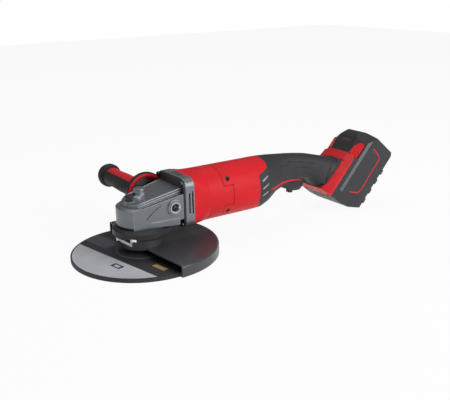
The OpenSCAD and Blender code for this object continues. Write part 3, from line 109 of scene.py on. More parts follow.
class Pattern:
    """One material's node tree, with short calls for the nodes that the finishes share."""

    def __init__(self, name: str) -> None:
        """Starts an empty tree with a Principled shader and object coordinates.

        Args:
            name: the material's name.
        """
        self.material = bpy.data.materials.new(name)
        self.material.use_nodes = True
        self.tree = self.material.node_tree
        self.tree.nodes.clear()
        self.shader = self.node("ShaderNodeBsdfPrincipled")
        self.surface = self.node("ShaderNodeOutputMaterial").inputs["Surface"]
        self.put(self.surface, self.shader.outputs["BSDF"])
        self.place = self.node("ShaderNodeTexCoord").outputs["Object"]

    def node(self, kind: str) -> bpy.types.Node:
        """Adds a node of the given kind."""
        return self.tree.nodes.new(kind)

    def put(self, socket: Socket, value: object) -> None:
        """Fills one input.

        Args:
            socket: the input.
            value: the output that feeds it, or a plain value.
        """
        if isinstance(value, bpy.types.NodeSocket):
            self.tree.links.new(value, socket)
        else:
            socket.default_value = value

    def feed(self, node: bpy.types.Node, **values: object) -> None:
        """Fills a node's inputs by name.

        Args:
            node: the node whose inputs are filled.
            **values: input names, with spaces written as underscores, and an output or a plain
                value for each.
        """
        for name, value in values.items():
            self.put(node.inputs[name.replace("_", " ")], value)

    def noise(self, scale: float, detail: float = 2.0, stretch: Point = (1.0, 1.0, 1.0)) -> Socket:
        """Makes a noise of the given scale over object coordinates.

        Args:
            scale: cycles per metre.
            detail: octaves.
            stretch: how much faster it runs along each axis.

        Returns:
            The noise's value, near 0.5 on average.
        """
        mapping = self.node("ShaderNodeMapping")
        self.feed(mapping, Vector=self.place, Scale=stretch)
        noise = self.node("ShaderNodeTexNoise")
        self.feed(noise, Vector=mapping.outputs["Vector"], Scale=scale, Detail=detail)
        return noise.outputs["Fac"]

    def spread(
        self, value: Socket, low: float, high: float, start: float = 0.3, end: float = 0.7,
    ) -> Socket:
        """Maps a value from one range to another and clamps it.

        Args:
            value: the socket to map.
            low: the result at start.
            high: the result at end.
            start: where the input range begins.
            end: where the input range ends.

        Returns:
            The mapped value.
        """
        node = self.node("ShaderNodeMapRange")
        self.feed(node, Value=value, From_Min=start, From_Max=end, To_Min=low, To_Max=high)
        return node.outputs["Result"]

    def math(self, operation: str, first: object, second: object = 0.0) -> Socket:
        """Joins two numbers or sockets with one math operation.

        Args:
            operation: the name of the operation, such as "MULTIPLY".
            first: the first number or socket.
            second: the second number or socket.

        Returns:
            The result.
        """
        node = self.node("ShaderNodeMath")
        node.operation = operation
        for socket, value in zip(node.inputs, (first, second)):
            self.put(socket, value)
        return node.outputs[0]

    def vector(self, operation: str, first: object, second: object, result: str) -> Socket:
        """Joins two vectors or sockets with one vector operation.

        Args:
            operation: the name of the operation, such as "SUBTRACT".
            first: the first vector or socket.
            second: the second vector or socket.
            result: the output that is wanted, "Vector" or "Value".

        Returns:
            The result.
        """
        node = self.node("ShaderNodeVectorMath")
        node.operation = operation
        for socket, value in zip(node.inputs, (first, second)):
            self.put(socket, value)
        return node.outputs[result]

    def blend(self, amount: object, first: object, second: object) -> Socket:
        """Mixes two colours.

        Args:
            amount: 0 gives the first colour and 1 the second.
            first: a colour or a socket.
            second: a colour or a socket.

        Returns:
            The mixed colour.
        """
        node = self.node("ShaderNodeMix")
        node.data_type = "RGBA"
        self.put(node.inputs[0], amount)
        for index, value in ((6, first), (7, second)):
            self.put(node.inputs[index], (*value, 1.0) if isinstance(value, tuple) else value)
        return node.outputs[2]

    def axis(self, name: str) -> Socket:
        """Returns one coordinate of the place on the surface: X, Y or Z."""
        node = self.node("ShaderNodeSeparateXYZ")
        self.feed(node, Vector=self.place)
        return node.outputs[name]

    def window(self, value: Socket, low: float, high: float, blur: float = 0.0004) -> Socket:
        """Marks where a value lies between two limits.

        Args:
            value: the socket to test.
            low: the lower limit.
            high: the upper limit.
            blur: how far each edge of the window fades.

        Returns:
            1 inside the limits and 0 outside.
        """
        above = self.spread(value, 0.0, 1.0, low - blur, low + blur)
        return self.math("MULTIPLY", above, self.spread(value, 1.0, 0.0, high - blur, high + blur))

    def reach(self, start: Spot, end: Spot) -> Socket:
        """Measures how far the surface lies from a line on the side of the tool.

        Args:
            start: the line's first end, as X and Z.
            end: its second end.

        Returns:
            The distance in metres, seen along Y.
        """
        run = (end[0] - start[0], 0.0, end[1] - start[1])
        length = run[0] ** 2 + run[2] ** 2
        flat = self.vector("MULTIPLY", self.place, (1.0, 0.0, 1.0), "Vector")
        away = self.vector("SUBTRACT", flat, (start[0], 0.0, start[1]), "Vector")
        along = self.vector("DOT_PRODUCT", away, shaded(run, 1 / length), "Value")
        share = self.spread(along, 0.0, 1.0, 0.0, 1.0)
        nearest = self.node("ShaderNodeCombineXYZ")
        self.feed(nearest, **{name: self.math("MULTIPLY", share, part) for name, part in zip("XYZ", run)})
        return self.vector("DISTANCE", away, nearest.outputs[0], "Value")

    def seams(
        self, lines: tuple[Line, ...], width: float, colour: Colour, shade: Socket, normal: Socket,
        depth: float = 0.0005,
    ) -> tuple[Socket, Socket]:
        """Draws fine grooves along bent lines on the sides of the tool.

        Args:
            lines: the lines' points, as X and Z.
            width: half of a groove's width.
            colour: the surface's colour, which darkens in the grooves.
            shade: the colour round the grooves.
            normal: the normal round the grooves.
            depth: the grooves' depth.

        Returns:
            The new colour and normal.
        """
        for line in lines:
            for start, end in zip(line, line[1:]):
                near = self.spread(self.reach(start, end), 1.0, 0.0, width * 0.25, width)
                shade = self.blend(self.math("MULTIPLY", near, 0.6), shade, shaded(colour, 0.4))
                normal = self.bump(self.math("SUBTRACT", 1.0, near), depth, normal)
        return shade, normal

    def soft_edges(self, radius: float) -> tuple[Socket, Socket]:
        """Rounds sharp edges in the shading, and marks where they are.

        Args:
            radius: the rounding's radius in metres.

        Returns:
            The rounded normal, and a mask that is 1 on the edges.
        """
        bevel = self.node("ShaderNodeBevel")
        bevel.samples = 4
        self.feed(bevel, Radius=radius)
        rounded = bevel.outputs["Normal"]
        plain = self.node("ShaderNodeNewGeometry").outputs["Normal"]
        turned = self.vector("DOT_PRODUCT", rounded, plain, "Value")
        return rounded, self.spread(turned, 1.0, 0.0, 0.75, 0.99)

    def bump(self, height: Socket, depth: float, normal: Socket | None = None) -> Socket:
        """Turns a height into a bumped normal.

        Args:
            height: the height between 0 and 1.
            depth: what a height of 1 stands for, in metres.
            normal: the normal that the bump is laid on.

        Returns:
            The new normal.
        """
        node = self.node("ShaderNodeBump")
        self.feed(node, Height=height, Distance=depth, Strength=1.0)
        if normal is not None:
            self.feed(node, Normal=normal)
        return node.outputs["Normal"]


@dataclass(frozen=True)
class Moulding:
    """A moulded plastic or rubber surface with its grain, gloss and worn edges.

    Scales are in cycles per metre, and shares run from 0 to 1.
    """

    name: str
    colour: Colour
    worn: Colour
    roughness: float = 0.42
    grain: float = 1500.0
    grain_depth: float = 0.00003
    edge: float = 0.0006
    rub: float = 0.5
    shine: float = 0.4
    seams: tuple[Line, ...] = ()
    seam_w: float = 0.0012
    cloud_scale: float = 28.0
    cloud_share: float = 0.35
    cloud_shade: float = 0.78
    speck_share: float = 0.18
    scuff_scale: float = 220.0
    gloss_scale: float = 90.0

    def material(self) -> bpy.types.Material:
        """Builds the surface's material, and returns it."""
        pattern = Pattern(self.name)
        normal, edges = pattern.soft_edges(self.edge)
        grain = pattern.noise(self.grain)
        clouds = pattern.spread(pattern.noise(self.cloud_scale, 4.0), 0.0, self.cloud_share)
        shade = pattern.blend(clouds, self.colour, shaded(self.colour, self.cloud_shade))
        shade = pattern.blend(pattern.spread(grain, 0.0, self.speck_share), shade, self.worn)
        scuffs = pattern.spread(pattern.noise(self.scuff_scale, 3.0), 0.3 * self.rub, self.rub)
        shade = pattern.blend(pattern.math("MULTIPLY", edges, scuffs), shade, self.worn)
        normal = pattern.bump(grain, self.grain_depth, normal)
        shade, normal = pattern.seams(self.seams, self.seam_w, self.colour, shade, normal)
        gloss = pattern.noise(self.gloss_scale, 3.0)
        pattern.feed(
            pattern.shader,
            Base_Color=shade,
            Roughness=pattern.spread(gloss, self.roughness - 0.05, self.roughness + 0.07),
            Specular_IOR_Level=self.shine,
            Normal=normal,
        )
        return pattern.material


@dataclass(frozen=True)
class Coating:
    """Paint or powder coat over metal, with orange peel and edges lightened towards a pale colour: patchy
    worn metal on most coats, and on the gear case an almost even painted highlight along every edge.

    Scales are in cycles per metre, and shares run from 0 to 1.
    """

    name: str
    colour: Colour
    # the pale colour below is that of worn edges and flecks; rub and even set how much and how evenly the
    # edges lighten, and where even is near 1, as on the gear case, that lightening is a painted highlight
    bare_and_highlight: Colour
    roughness: float = 0.38
    metallic: float = 0.0
    peel: float = 700.0
    peel_depth: float = 0.00004
    edge: float = 0.0008
    rub: float = 0.6
    even: float = 0.3
    flecks: float = 0.12
    seams: tuple[Line, ...] = ()
    seam_w: float = 0.0009
    cloud_scale: float = 22.0
    cloud_share: float = 0.4
    cloud_shade: float = 0.82
    fleck_scale: float = 2600.0
    rub_scale: float = 160.0
    gloss_scale: float = 60.0

    def material(self) -> bpy.types.Material:
        """Builds the coat's material, and returns it."""
        pattern = Pattern(self.name)
        normal, edges = pattern.soft_edges(self.edge)
        clouds = pattern.spread(pattern.noise(self.cloud_scale, 4.0), 0.0, self.cloud_share)
        shade = pattern.blend(clouds, self.colour, shaded(self.colour, self.cloud_shade))
        flecks = pattern.spread(pattern.noise(self.fleck_scale, 1.0), 0.0, self.flecks, 0.45, 0.75)
        shade = pattern.blend(flecks, shade, self.bare_and_highlight)
        # edges lighten towards the pale colour: patchy where even is low, as worn metal, and almost
        # unbroken where even is near 1, as the gear case's painted highlight
        rubbed_and_highlight = pattern.spread(pattern.noise(self.rub_scale, 4.0), self.even * self.rub, self.rub)
        shade = pattern.blend(pattern.math("MULTIPLY", edges, rubbed_and_highlight), shade, self.bare_and_highlight)
        shade, normal = pattern.seams(self.seams, self.seam_w, self.colour, shade, normal)
        gloss = pattern.noise(self.gloss_scale, 3.0)
        pattern.feed(
            pattern.shader,
            Base_Color=shade,
            Roughness=pattern.spread(gloss, self.roughness - 0.05, self.roughness + 0.06),
            Metallic=self.metallic,
            Normal=pattern.bump(pattern.noise(self.peel), self.peel_depth, normal),
        )
        return pattern.material


@dataclass(frozen=True)
class Metal:
    """Bare or plated metal with fine tool marks."""

    name: str
    colour: Colour
    roughness: float = 0.3
    marks: Point = (1.0, 1.0, 6.0)
    mark_scale: float = 900.0
    mark_depth: float = 0.00001
    edge: float = 0.0004
    tint_scale: float = 45.0

    def material(self) -> bpy.types.Material:
        """Builds the metal's material, and returns it."""
        pattern = Pattern(self.name)
        normal, _ = pattern.soft_edges(self.edge)
        marks = pattern.noise(self.mark_scale, 3.0, self.marks)
        tint = pattern.spread(pattern.noise(self.tint_scale, 4.0), 0.0, 0.5)
        pattern.feed(
            pattern.shader,
            Base_Color=pattern.blend(tint, self.colour, shaded(self.colour, 0.7)),
            Metallic=1.0,
            Roughness=pattern.spread(marks, self.roughness - 0.08, self.roughness + 0.12),
            Normal=pattern.bump(marks, self.mark_depth, normal),
        )
        return pattern.material


@dataclass(frozen=True)
class Area:
    """One printed area of the wheel's label, by its limits across and along the label's bands."""

    across: Spot
    along: Spot
    colour: Colour


@dataclass(frozen=True)
class WheelFace:
    """The grinding wheel: black bonded grit with a printed paper label on its upper face."""

    name: str = "abrasive_wheel"
    grit: Colour = linear("2c2c30")
    grit_shine: Colour = linear("5c5c62")
    paper: Colour = linear("c2c5cb")
    paper_worn: Colour = linear("a8abb1")
    areas: tuple[Area, ...] = (
        Area((-0.0370, -0.0060), (-1.0, -0.05), linear("50505c")),
        Area((-0.0320, -0.0230), (0.0610, 0.0890), linear("b38e64")),
        Area((-0.0745, -0.0630), (0.0115, 0.0335), linear("2a2a3a")),
        Area((-0.0717, -0.0658), (0.0165, 0.0285), linear("c2c5cb")),
    )
    label_r: float = 0.1125
    label_edge: float = -0.0531
    label_z: float = 0.005
    slant: Spot = (0.9797, 0.2008)
    # a paler ring at the hub's step: a painted highlight on the edge where the wheel's centre rises
    step_r: float = 0.0415
    step_w: float = 0.0007
    step_highlight: Colour = linear("a2a2a8")
    grain: float = 1300.0
    weave: float = 420.0
    relief: float = 0.00012

    def material(self) -> bpy.types.Material:
        """Builds the wheel's material, and returns it."""
        pattern = Pattern(self.name)
        x, y, z = (pattern.axis(name) for name in "XYZ")
        cosine, sine = self.slant

        def mixed(join: str, first: float, second: float) -> Socket:
            """Joins X and Y, each times its own factor.

            Args:
                join: the math operation that joins them.
                first: the factor of X.
                second: the factor of Y.

            Returns:
                The joined value.
            """
            return pattern.math(
                join, pattern.math("MULTIPLY", x, first), pattern.math("MULTIPLY", y, second))

        # the label's bands run straight across the wheel
        across, along = mixed("ADD", cosine, sine), mixed("SUBTRACT", sine, cosine)
        squares = (pattern.math("POWER", part, 2.0) for part in (x, y))
        radius = pattern.math("SQRT", pattern.math("ADD", *squares))
        top = pattern.math(
            "MULTIPLY", pattern.window(radius, -1.0, self.label_r), pattern.window(z, self.label_z, 1.0))

        def printed(area: Area) -> Socket:
            """Marks where an area lies on the wheel's upper face.

            Args:
                area: the printed area.

            Returns:
                1 inside the area and 0 outside.
            """
            inside = pattern.math(
                "MULTIPLY", pattern.window(across, *area.across), pattern.window(along, *area.along))
            return pattern.math("MULTIPLY", inside, top)

        grain = pattern.noise(self.grain, 3.0)
        grit = pattern.blend(
            pattern.spread(grain, 0.0, 0.7, 0.55, 0.85), self.grit, self.grit_shine)
        worn = pattern.spread(pattern.noise(35.0, 4.0), 0.0, 0.5)
        paper = pattern.blend(worn, self.paper, self.paper_worn)
        paper = pattern.blend(pattern.spread(grain, 0.0, 0.4, 0.58, 0.8), paper, self.grit)
        sheet = Area((-1.0, self.label_edge), (-1.0, 1.0), self.paper)
        shade = pattern.blend(printed(sheet), grit, paper)
        for area in self.areas:
            shade = pattern.blend(printed(area), shade, area.colour)
        # painted highlight: a paler ring along the hub's step
        step = pattern.window(radius, self.step_r, self.step_r + self.step_w)
        shade = pattern.blend(pattern.math("MULTIPLY", step, 0.45), shade, self.step_highlight)
        weave = pattern.node("ShaderNodeTexVoronoi")
        pattern.feed(weave, Vector=pattern.place, Scale=self.weave)
        cells = pattern.spread(weave.outputs["Distance"], 0.0, 0.6, 0.0, 0.5)
        pattern.feed(
            pattern.shader,
            Base_Color=shade,
            Roughness=pattern.spread(grain, 0.5, 0.75),
            Normal=pattern.bump(pattern.math("ADD", cells, grain), self.relief),
        )
        return pattern.material


Finish = Moulding | Coating | Metal | WheelFace

# lines on the tool's sides, as X and Z
GRIP_SEAMS = (
    ((0.2680, 0.1084), (0.2848, 0.1060), (0.2885, 0.1118), (0.3145, 0.1082), (0.3264, 0.1045),
     (0.3480, 0.0998)),
    ((0.3050, 0.0991), (0.3214, 0.0973), (0.3430, 0.0915)),
    ((0.3890, 0.0969), (0.3816, 0.0835), (0.3714, 0.0661), (0.3643, 0.0577)),
)
HOUSING_SEAMS = (
    ((0.1340, 0.0300), (0.1340, 0.0670), (0.1515, 0.0670), (0.1515, 0.1000), (0.1340, 0.1000),
     (0.1340, 0.1300)),
)
CASE_SEAMS = (((-0.0057, 0.0684), (-0.0005, 0.0741), (0.0097, 0.0823), (0.0181, 0.0876)),)

HOUSING = Moulding("housing_moulding", linear("dc1420"), linear("f26a6e"), shine=0.13,
                   seams=HOUSING_SEAMS, seam_w=0.001)
RED = Moulding("red_moulding", linear("dc1420"), linear("f26a6e"), 0.4, shine=0.25)
BLACK = Moulding("black_moulding", linear("232326"), linear("5a5a5f"))
CASE_BLACK = Moulding("pack_moulding", linear("28282b"), linear("66666b"), 0.45, rub=0.7)
RUBBER = Moulding("black_overmould", linear("2e2e31"), linear("4c4c50"), 0.55, grain=1100.0,
                  grain_depth=0.00005, rub=0.2, seams=GRIP_SEAMS)
DARK_RUBBER = Moulding("handle_rubber", linear("222225"), linear("3d3d40"), 0.6, grain=900.0,
                       grain_depth=0.00006)
GREY_PLASTIC = Moulding("grey_moulding", linear("a4a4a6"), linear("c4c4c6"), 0.5)
STRIPE = Moulding("stripe_moulding", linear("7e8388"), linear("a0a4a8"), 0.4)
GAUGE = Moulding("gauge_moulding", linear("3c3c40"), linear("66666a"), 0.4)
LENS = Moulding("gauge_lens", linear("8f2a35"), linear("b8606a"), 0.25)
POTTING = Moulding("potting", linear("26262a"), linear("4a4a4e"), 0.35)
CELL_WRAP = Moulding("cell_wrap", linear("35618f"), linear("6f93b8"), 0.3)
BOARD = Moulding("circuit_board", linear("1d5a35"), linear("4b8a62"), 0.45)
# the gear case's edges lighten almost evenly all round (rub 1, even 0.85): a painted highlight along its
# fins and corners
CASTING = Coating("case_coat", linear("777c81"), linear("e8ebee"), 0.38, 0.6, peel_depth=0.00001,
                  edge=0.0009, rub=1.0, even=0.85, seams=CASE_SEAMS)
# pale beads on the fins' edges: a painted highlight where the rounded fin edges catch the light
FIN_HIGHLIGHT = Coating("painted_fin_highlight", linear("c4c9cd"), linear("eef0f2"), 0.45, 0.2, peel_depth=0.000001,
               edge=0.0001)
POWDER = Coating("guard_coat", linear("434348"), linear("6b6b70"), 0.32, peel=1500.0,
                 peel_depth=0.0000006, flecks=0.03)
BRIGHT = Metal("bright_steel", linear("c9cacd"), 0.24)
DARK = Metal("dark_steel", linear("55565a"), 0.38)
CHROME = Metal("plated_steel", linear("f6f6f8"), 0.2)
IRON = Metal("laminations", linear("8a8b8e"), 0.45, (14.0, 1.0, 1.0))
NICKEL = Metal("magnet_nickel", linear("b9b5aa"), 0.25)
COPPER = Metal("winding_copper", linear("b8703c"), marks=(1.0, 9.0, 9.0))
WHEEL = WheelFace()


@dataclass(frozen=True)
class Row:
    """Bars repeated along a line by a node tree, and baked into a plain mesh."""

    name: str
    count: int
    step: Point
    size: Point
    soften: float = 0.0002

    def tree(self) -> bpy.types.NodeTree:
        """Builds the node tree that lays the row out.

        Returns:
            The tree, with the inputs Count, Step, Size and Finish.
        """
        tree = bpy.data.node_groups.new(self.name, "GeometryNodeTree")
        for label, kind in (
            ("Count", "Int"), ("Step", "Vector"), ("Size", "Vector"), ("Finish", "Material"),
        ):
            tree.interface.new_socket(label, in_out="INPUT", socket_type="NodeSocket" + kind)
        tree.interface.new_socket("Row", in_out="OUTPUT", socket_type="NodeSocketGeometry")
        given, line, bar, spread, plain, dress, result = (tree.nodes.new(kind) for kind in (
            "NodeGroupInput", "GeometryNodeMeshLine", "GeometryNodeMeshCube",
            "GeometryNodeInstanceOnPoints", "GeometryNodeRealizeInstances",
            "GeometryNodeSetMaterial", "NodeGroupOutput"))
        for source, output, target, entry in (
            (given, "Count", line, "Count"), (given, "Step", line, "Offset"),
            (given, "Size", bar, "Size"), (line, "Mesh", spread, "Points"),
            (bar, "Mesh", spread, "Instance"), (spread, "Instances", plain, "Geometry"),
            (plain, "Geometry", dress, "Geometry"), (given, "Finish", dress, "Material"),
            (dress, "Geometry", result, "Row"),
        ):
            tree.links.new(source.outputs[output], target.inputs[entry])
        return tree

    def mesh(self, finish: bpy.types.Material, place: Matrix) -> bpy.types.Mesh:
        """Bakes the row.

        Args:
            finish: the material of every bar.
            place: where the first bar stands and how the row is turned.

        Returns:
            The plain mesh, in the tool's own frame.
        """
        holder = bpy.data.objects.new(self.name + "_row", bpy.data.meshes.new(self.name + "_row"))
        bpy.context.scene.collection.objects.link(holder)
        nodes = holder.modifiers.new("Row", "NODES")
        nodes.node_group = self.tree()
        values = {"Count": self.count, "Step": self.step, "Size": self.size, "Finish": finish}
        for item in nodes.node_group.interface.items_tree:
            if item.in_out == "INPUT":
                nodes[item.identifier] = values[item.name]
        bevel = holder.modifiers.new("Soften", "BEVEL")
        bevel.width = self.soften
        bevel.segments = 2
        bpy.context.view_layer.update()
        ready = holder.evaluated_get(bpy.context.evaluated_depsgraph_get())
        data = bpy.data.meshes.new_from_object(ready)
        bpy.data.objects.remove(holder)
        data.transform(place)
        data.name = self.name
        return data


def skin(name: str, rings: list[list[Vector]]) -> bpy.types.Mesh:
    """Closes a row of rings into one solid skin.

    Args:
        name: the mesh's name.
        rings: rings of the same number of points, in order.

    Returns:
        The closed mesh.
    """
    work = bmesh.new()
    loops = [[work.verts.new(point) for point in ring] for ring in rings]
    for first, second in zip(loops, loops[1:]):
        for k in range(len(first)):
            j = (k + 1) % len(first)
            work.faces.new((first[k], first[j], second[j], second[k]))
    work.faces.new(loops[0])
    work.faces.new(loops[-1])
    bmesh.ops.recalc_face_normals(work, faces=work.faces)
    return baked(name, work)


def baked(name: str, work: bmesh.types.BMesh) -> bpy.types.Mesh:
    """Turns a working mesh into a plain one, and frees it.

    Args:
        name: the new mesh's name.
        work: the working mesh.

    Returns:
        The plain mesh.
    """
    data = bpy.data.meshes.new(name)
    work.to_mesh(data)
    work.free()
    return data


def ribbon(name: str, path: Line, width: float, height: float) -> bpy.types.Mesh:
    """Makes a flat raised strip along a bent path.

    Args:
        name: the mesh's name.
        path: the path's points in its own plane.
        width: the strip's width.
        height: how far it stands out of the plane.

    Returns:
        A closed mesh whose base lies in the XY plane, with mitred bends.
    """
    points = [Vector((*point, 0.0)) for point in path]
    lift = Vector((0.0, 0.0, height))
    rings = []
    for index, point in enumerate(points):
        before = (point - points[max(index - 1, 0)]).normalized()
        after = (points[min(index + 1, len(points) - 1)] - point).normalized()
        along = (before + after).normalized()
        mitre = max(along.dot(after if after.length else before), 0.4)
        side = Vector((-along.y, along.x, 0.0)) * (width / 2 / mitre)
        crown = side * 0.8
        rings.append([
            point - side, point + side, point + side + lift * 0.6, point + crown + lift,
            point - crown + lift, point - side + lift * 0.6])
    return skin(name, rings)


def smooth_track(path: tuple[Point, ...], steps: int) -> list[Vector]:
    """Runs a smooth curve through the points of a path.

    Args:
        path: the points that the curve passes through.
        steps: places on the curve between two points of the path.

    Returns:
        The places on the curve, in order.
    """
    points = [Vector(point) for point in path]
    ends = [points[0] * 2 - points[1], *points, points[-1] * 2 - points[-2]]
    track = []
    for a, b, c, d in zip(ends, ends[1:], ends[2:], ends[3:]):
        for t in (k / steps for k in range(steps)):
            curve = 2 * b + (c - a) * t + (2 * a - 5 * b + 4 * c - d) * t * t
            track.append(0.5 * (curve + (3 * b - a - 3 * c + d) * t ** 3))
    return [*track, points[-1]]


def bead(
    name: str, path: tuple[Point, ...], radius: float, sides: int = 10, steps: int = 6,
) -> bpy.types.Mesh:
    """Sweeps a round bead along a smooth path, thinning out at both ends.

    Args:
        name: the mesh's name.
        path: points that the path passes through.
        radius: the bead's radius.
        sides: points round the bead.
        steps: rings between two points of the path.

    Returns:
        The closed mesh.
    """
    track = smooth_track(path, steps)
    last = len(track) - 1
    rings = []
    for index, point in enumerate(track):
        along = (track[min(index + 1, last)] - track[max(index - 1, 0)]).normalized()
        across = along.cross(Vector((0.0, 1.0, 0.0))).normalized()
        out = across.cross(along)
        thin = radius * min(1.0, 0.25 + 0.5 * min(index, last - index))
        turns = (2 * math.pi * k / sides for k in range(sides))
        rings.append([point + (across * math.cos(t) + out * math.sin(t)) * thin for t in turns])
    return skin(name, rings)


def trim(work: bmesh.types.BMesh, cuts: tuple[Cut, ...]) -> None:
    """Cuts a closed mesh along planes and closes it again.

    Args:
        work: the mesh that is cut.
        cuts: the planes, each a point and the normal of the side that goes.
    """
    for point, normal in cuts:
        cut = bmesh.ops.bisect_plane(
            work, geom=[*work.verts, *work.edges, *work.faces], plane_co=point, plane_no=normal,
            clear_outer=True)["geom_cut"]
        edges = [part for part in cut if isinstance(part, bmesh.types.BMEdge)]
        bmesh.ops.holes_fill(work, edges=edges)


@dataclass
class Dresser:
    """Turns the frame's plain meshes into shaded pieces and gives each its finish.

    Edges that turn more than the sharp angle stay sharp.
    """

    merge: float = 0.00001
    sharp: float = 24.0
    added_sharp: float = 30.0
    slots: dict[str, str] = field(default_factory=lambda: {
        part["node"]: part["material_slot"] for part in frame["record"]["subparts"]})
    made: dict[str, bpy.types.Material] = field(default_factory=dict)

    def finish(self, finish: Finish) -> bpy.types.Material:
        """Returns the finish's material, built once."""
        if finish.name not in self.made:
            self.made[finish.name] = finish.material()
        return self.made[finish.name]

    def paint(self, **finishes: Finish) -> None:
        """Gives frame nodes that stay hidden inside their finishes.

        Args:
            **finishes: the nodes' names, and a finish for each.
        """
        for node, finish in finishes.items():
            data = frame["nodes"][node].data
            data.materials.clear()
            data.materials.append(self.finish(finish))
            LOG.info("%s is painted with %s", node, finish.name)

    def dress(self, body: Body, cuts: tuple[Cut, ...] = (), **finishes: Finish) -> None:
        """Refines several frame nodes of one body.

        Args:
            body: the body that they ride on.
            cuts: the planes that all of them are trimmed on.
            **finishes: the nodes' names, and a finish for each.
        """
        for node, finish in finishes.items():
            self.refine(node, body, finish, cuts=cuts)

    def refine(
        self, node: str, body: Body, finish: Finish, sharp: float = 0.0, cuts: tuple[Cut, ...] = (),
    ) -> bpy.types.Object:
        """Copies a frame node, welds its triangles and smooths its curved faces.

        Args:
            node: the node that the copy stands for.
            body: the body it rides on.
            finish: its finish.
            sharp: its own sharp angle in degrees, or 0 for the usual one.
            cuts: planes that corners are cut off on, each a point and the normal of the side
                that goes.

        Returns:
            The finished piece.
        """
        plain = frame["nodes"][node].data.copy()
        plain.attributes.remove(plain.attributes["custom_normal"])
        work = bmesh.new()
        work.from_mesh(plain)
        bmesh.ops.remove_doubles(work, verts=work.verts, dist=self.merge)
        trim(work, cuts)
        work.to_mesh(plain)
        work.free()
        plain.name = node + "_skin"
        piece = self.settle(plain, body, finish, sharp or self.sharp)
        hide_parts(node)
        return piece

    def add(self, data: bpy.types.Mesh, body: Body, finish: Finish, slot: Slot) -> None:
        """Adds a small piece that no frame node stands for.

        Args:
            data: its mesh, in the tool's own frame.
            body: the body it rides on.
            finish: its finish.
            slot: its material slot; not used.
        """
        self.settle(data, body, finish, self.added_sharp)

    def settle(
        self, data: bpy.types.Mesh, body: Body, finish: Finish, sharp: float,
    ) -> bpy.types.Object:
        """Makes a mesh into a shaded piece that rides on its body.

        Args:
            data: its mesh, in the tool's own frame.
            body: the body it rides on.
            finish: its finish.
            sharp: edges that turn more than this many degrees stay sharp.

        Returns:
            The piece.
        """
        piece = bpy.data.objects.new(data.name, data)
        bpy.context.scene.collection.objects.link(piece)
        data.shade_smooth()
        data.set_sharp_from_angle(angle=math.radians(sharp))
        data.materials.clear()
        data.materials.append(self.finish(finish))
        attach(piece, body.value)
        LOG.info("%s rides on %s", piece.name, body.value)
        return piece


# the battery's own frame: X into the pack and Z up along its rails
PACK_FRAME = Matrix.Translation((0.3835, 0.0, 0.04096)) @ Matrix.Rotation(math.radians(41.9), 4, "Y")


@dataclass
class GearHead:
    """Gear case, its flange, bearings, lock button and screws."""

    lock_travel: float = 0.003
    fin_start: Point = (-0.0150, 0.0268, 0.0940)
    fin_end: Point = (0.0555, 0.0332, 0.1091)
    fin_drop: float = 0.0041
    fin_highlight_r: float = 0.00055
    fin_points: int = 5

    def build(self, dresser: Dresser) -> None:
        """Dresses the gear head.

        Args:
            dresser: the maker of its pieces.
        """
        dresser.dress(
            Body.MACHINE, gear_case=CASTING, flange_plate=CASTING, flange_bezel=BLACK,
            bearing_retainer=BLACK, handle_inserts=BRIGHT, housing_screws=DARK,
            retainer_screws=BRIGHT)
        dresser.dress(Body.LOCK, lock_button=BLACK)
        dresser.paint(
            gear_case_screws=DARK, spindle_seal=BLACK, spindle_bearing_lower=BRIGHT,
            spindle_bearing_upper=BRIGHT)
        self.spring(dresser)
        self.fin_highlights(dresser)

    def fin_highlights(self, dresser: Dresser) -> None:
        """Lays pale beads along the rounded edges of the deck's four fins, a painted highlight where
        those edges catch the light.

        Args:
            dresser: the maker of its pieces.
        """
        for name, side, drop in (
            ("upper_left", -1, 0.0), ("lower_left", -1, self.fin_drop),
            ("upper_right", 1, 0.0), ("lower_right", 1, self.fin_drop),
        ):
            start, end = (
                Vector((x, side * y, z - drop)) for x, y, z in (self.fin_start, self.fin_end))
            last = self.fin_points - 1
            path = tuple(start.lerp(end, step / last) for step in range(self.fin_points))
            edge = bead("fin_highlight_" + name, path, self.fin_highlight_r)
            dresser.add(edge, Body.MACHINE, FIN_HIGHLIGHT, Slot.CASE)

    def spring(self, dresser: Dresser) -> None:
        """Dresses the lock button's spring, which on the real tool shortens as the button goes down, and
        gives the piece a mesh of its own.

        Args:
            dresser: the maker of its pieces.
        """
        spring = dresser.refine("lock_spring", Body.MACHINE, BRIGHT)
        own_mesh(spring)


@dataclass
class WheelSet:
    """Spindle, wheel, guard and clamp."""

    wheel_sharp: float = 35.0

    def build(self, dresser: Dresser) -> None:
        """Dresses the wheel and its guard.

        Args:
            dresser: the maker of its pieces.
        """
        dresser.refine("grinding_disc", Body.SPINDLE, WHEEL, self.wheel_sharp)
        dresser.dress(Body.SPINDLE, lock_nut=BRIGHT, inner_flange=DARK, spindle=DARK)
        dresser.paint(bevel_gear=BRIGHT)
        dresser.dress(Body.GUARD, guard=POWDER, guard_collar=POWDER)
        dresser.dress(Body.CLAMP, guard_lever=CHROME)


@dataclass
class MotorBody:
    """Motor, its housing and the red barrel."""

    def build(self, dresser: Dresser) -> None:
        """Dresses the motor and barrel.

        Args:
            dresser: the maker of its pieces.
        """
        dresser.dress(
            Body.MACHINE, motor_housing=HOUSING, barrel_shell_left=HOUSING,
            barrel_shell_right=HOUSING, shell_screws=DARK)
        dresser.paint(
            stator_core=IRON, stator_windings=COPPER, motor_end_bracket=BLACK,
            rotor_bearing_front=BRIGHT, rotor_bearing_rear=BRIGHT, control_module=POTTING,
            bevel_pinion=BRIGHT, rotor_shaft=DARK, rotor_core=IRON, rotor_magnets=NICKEL,
            cooling_fan=BLACK)


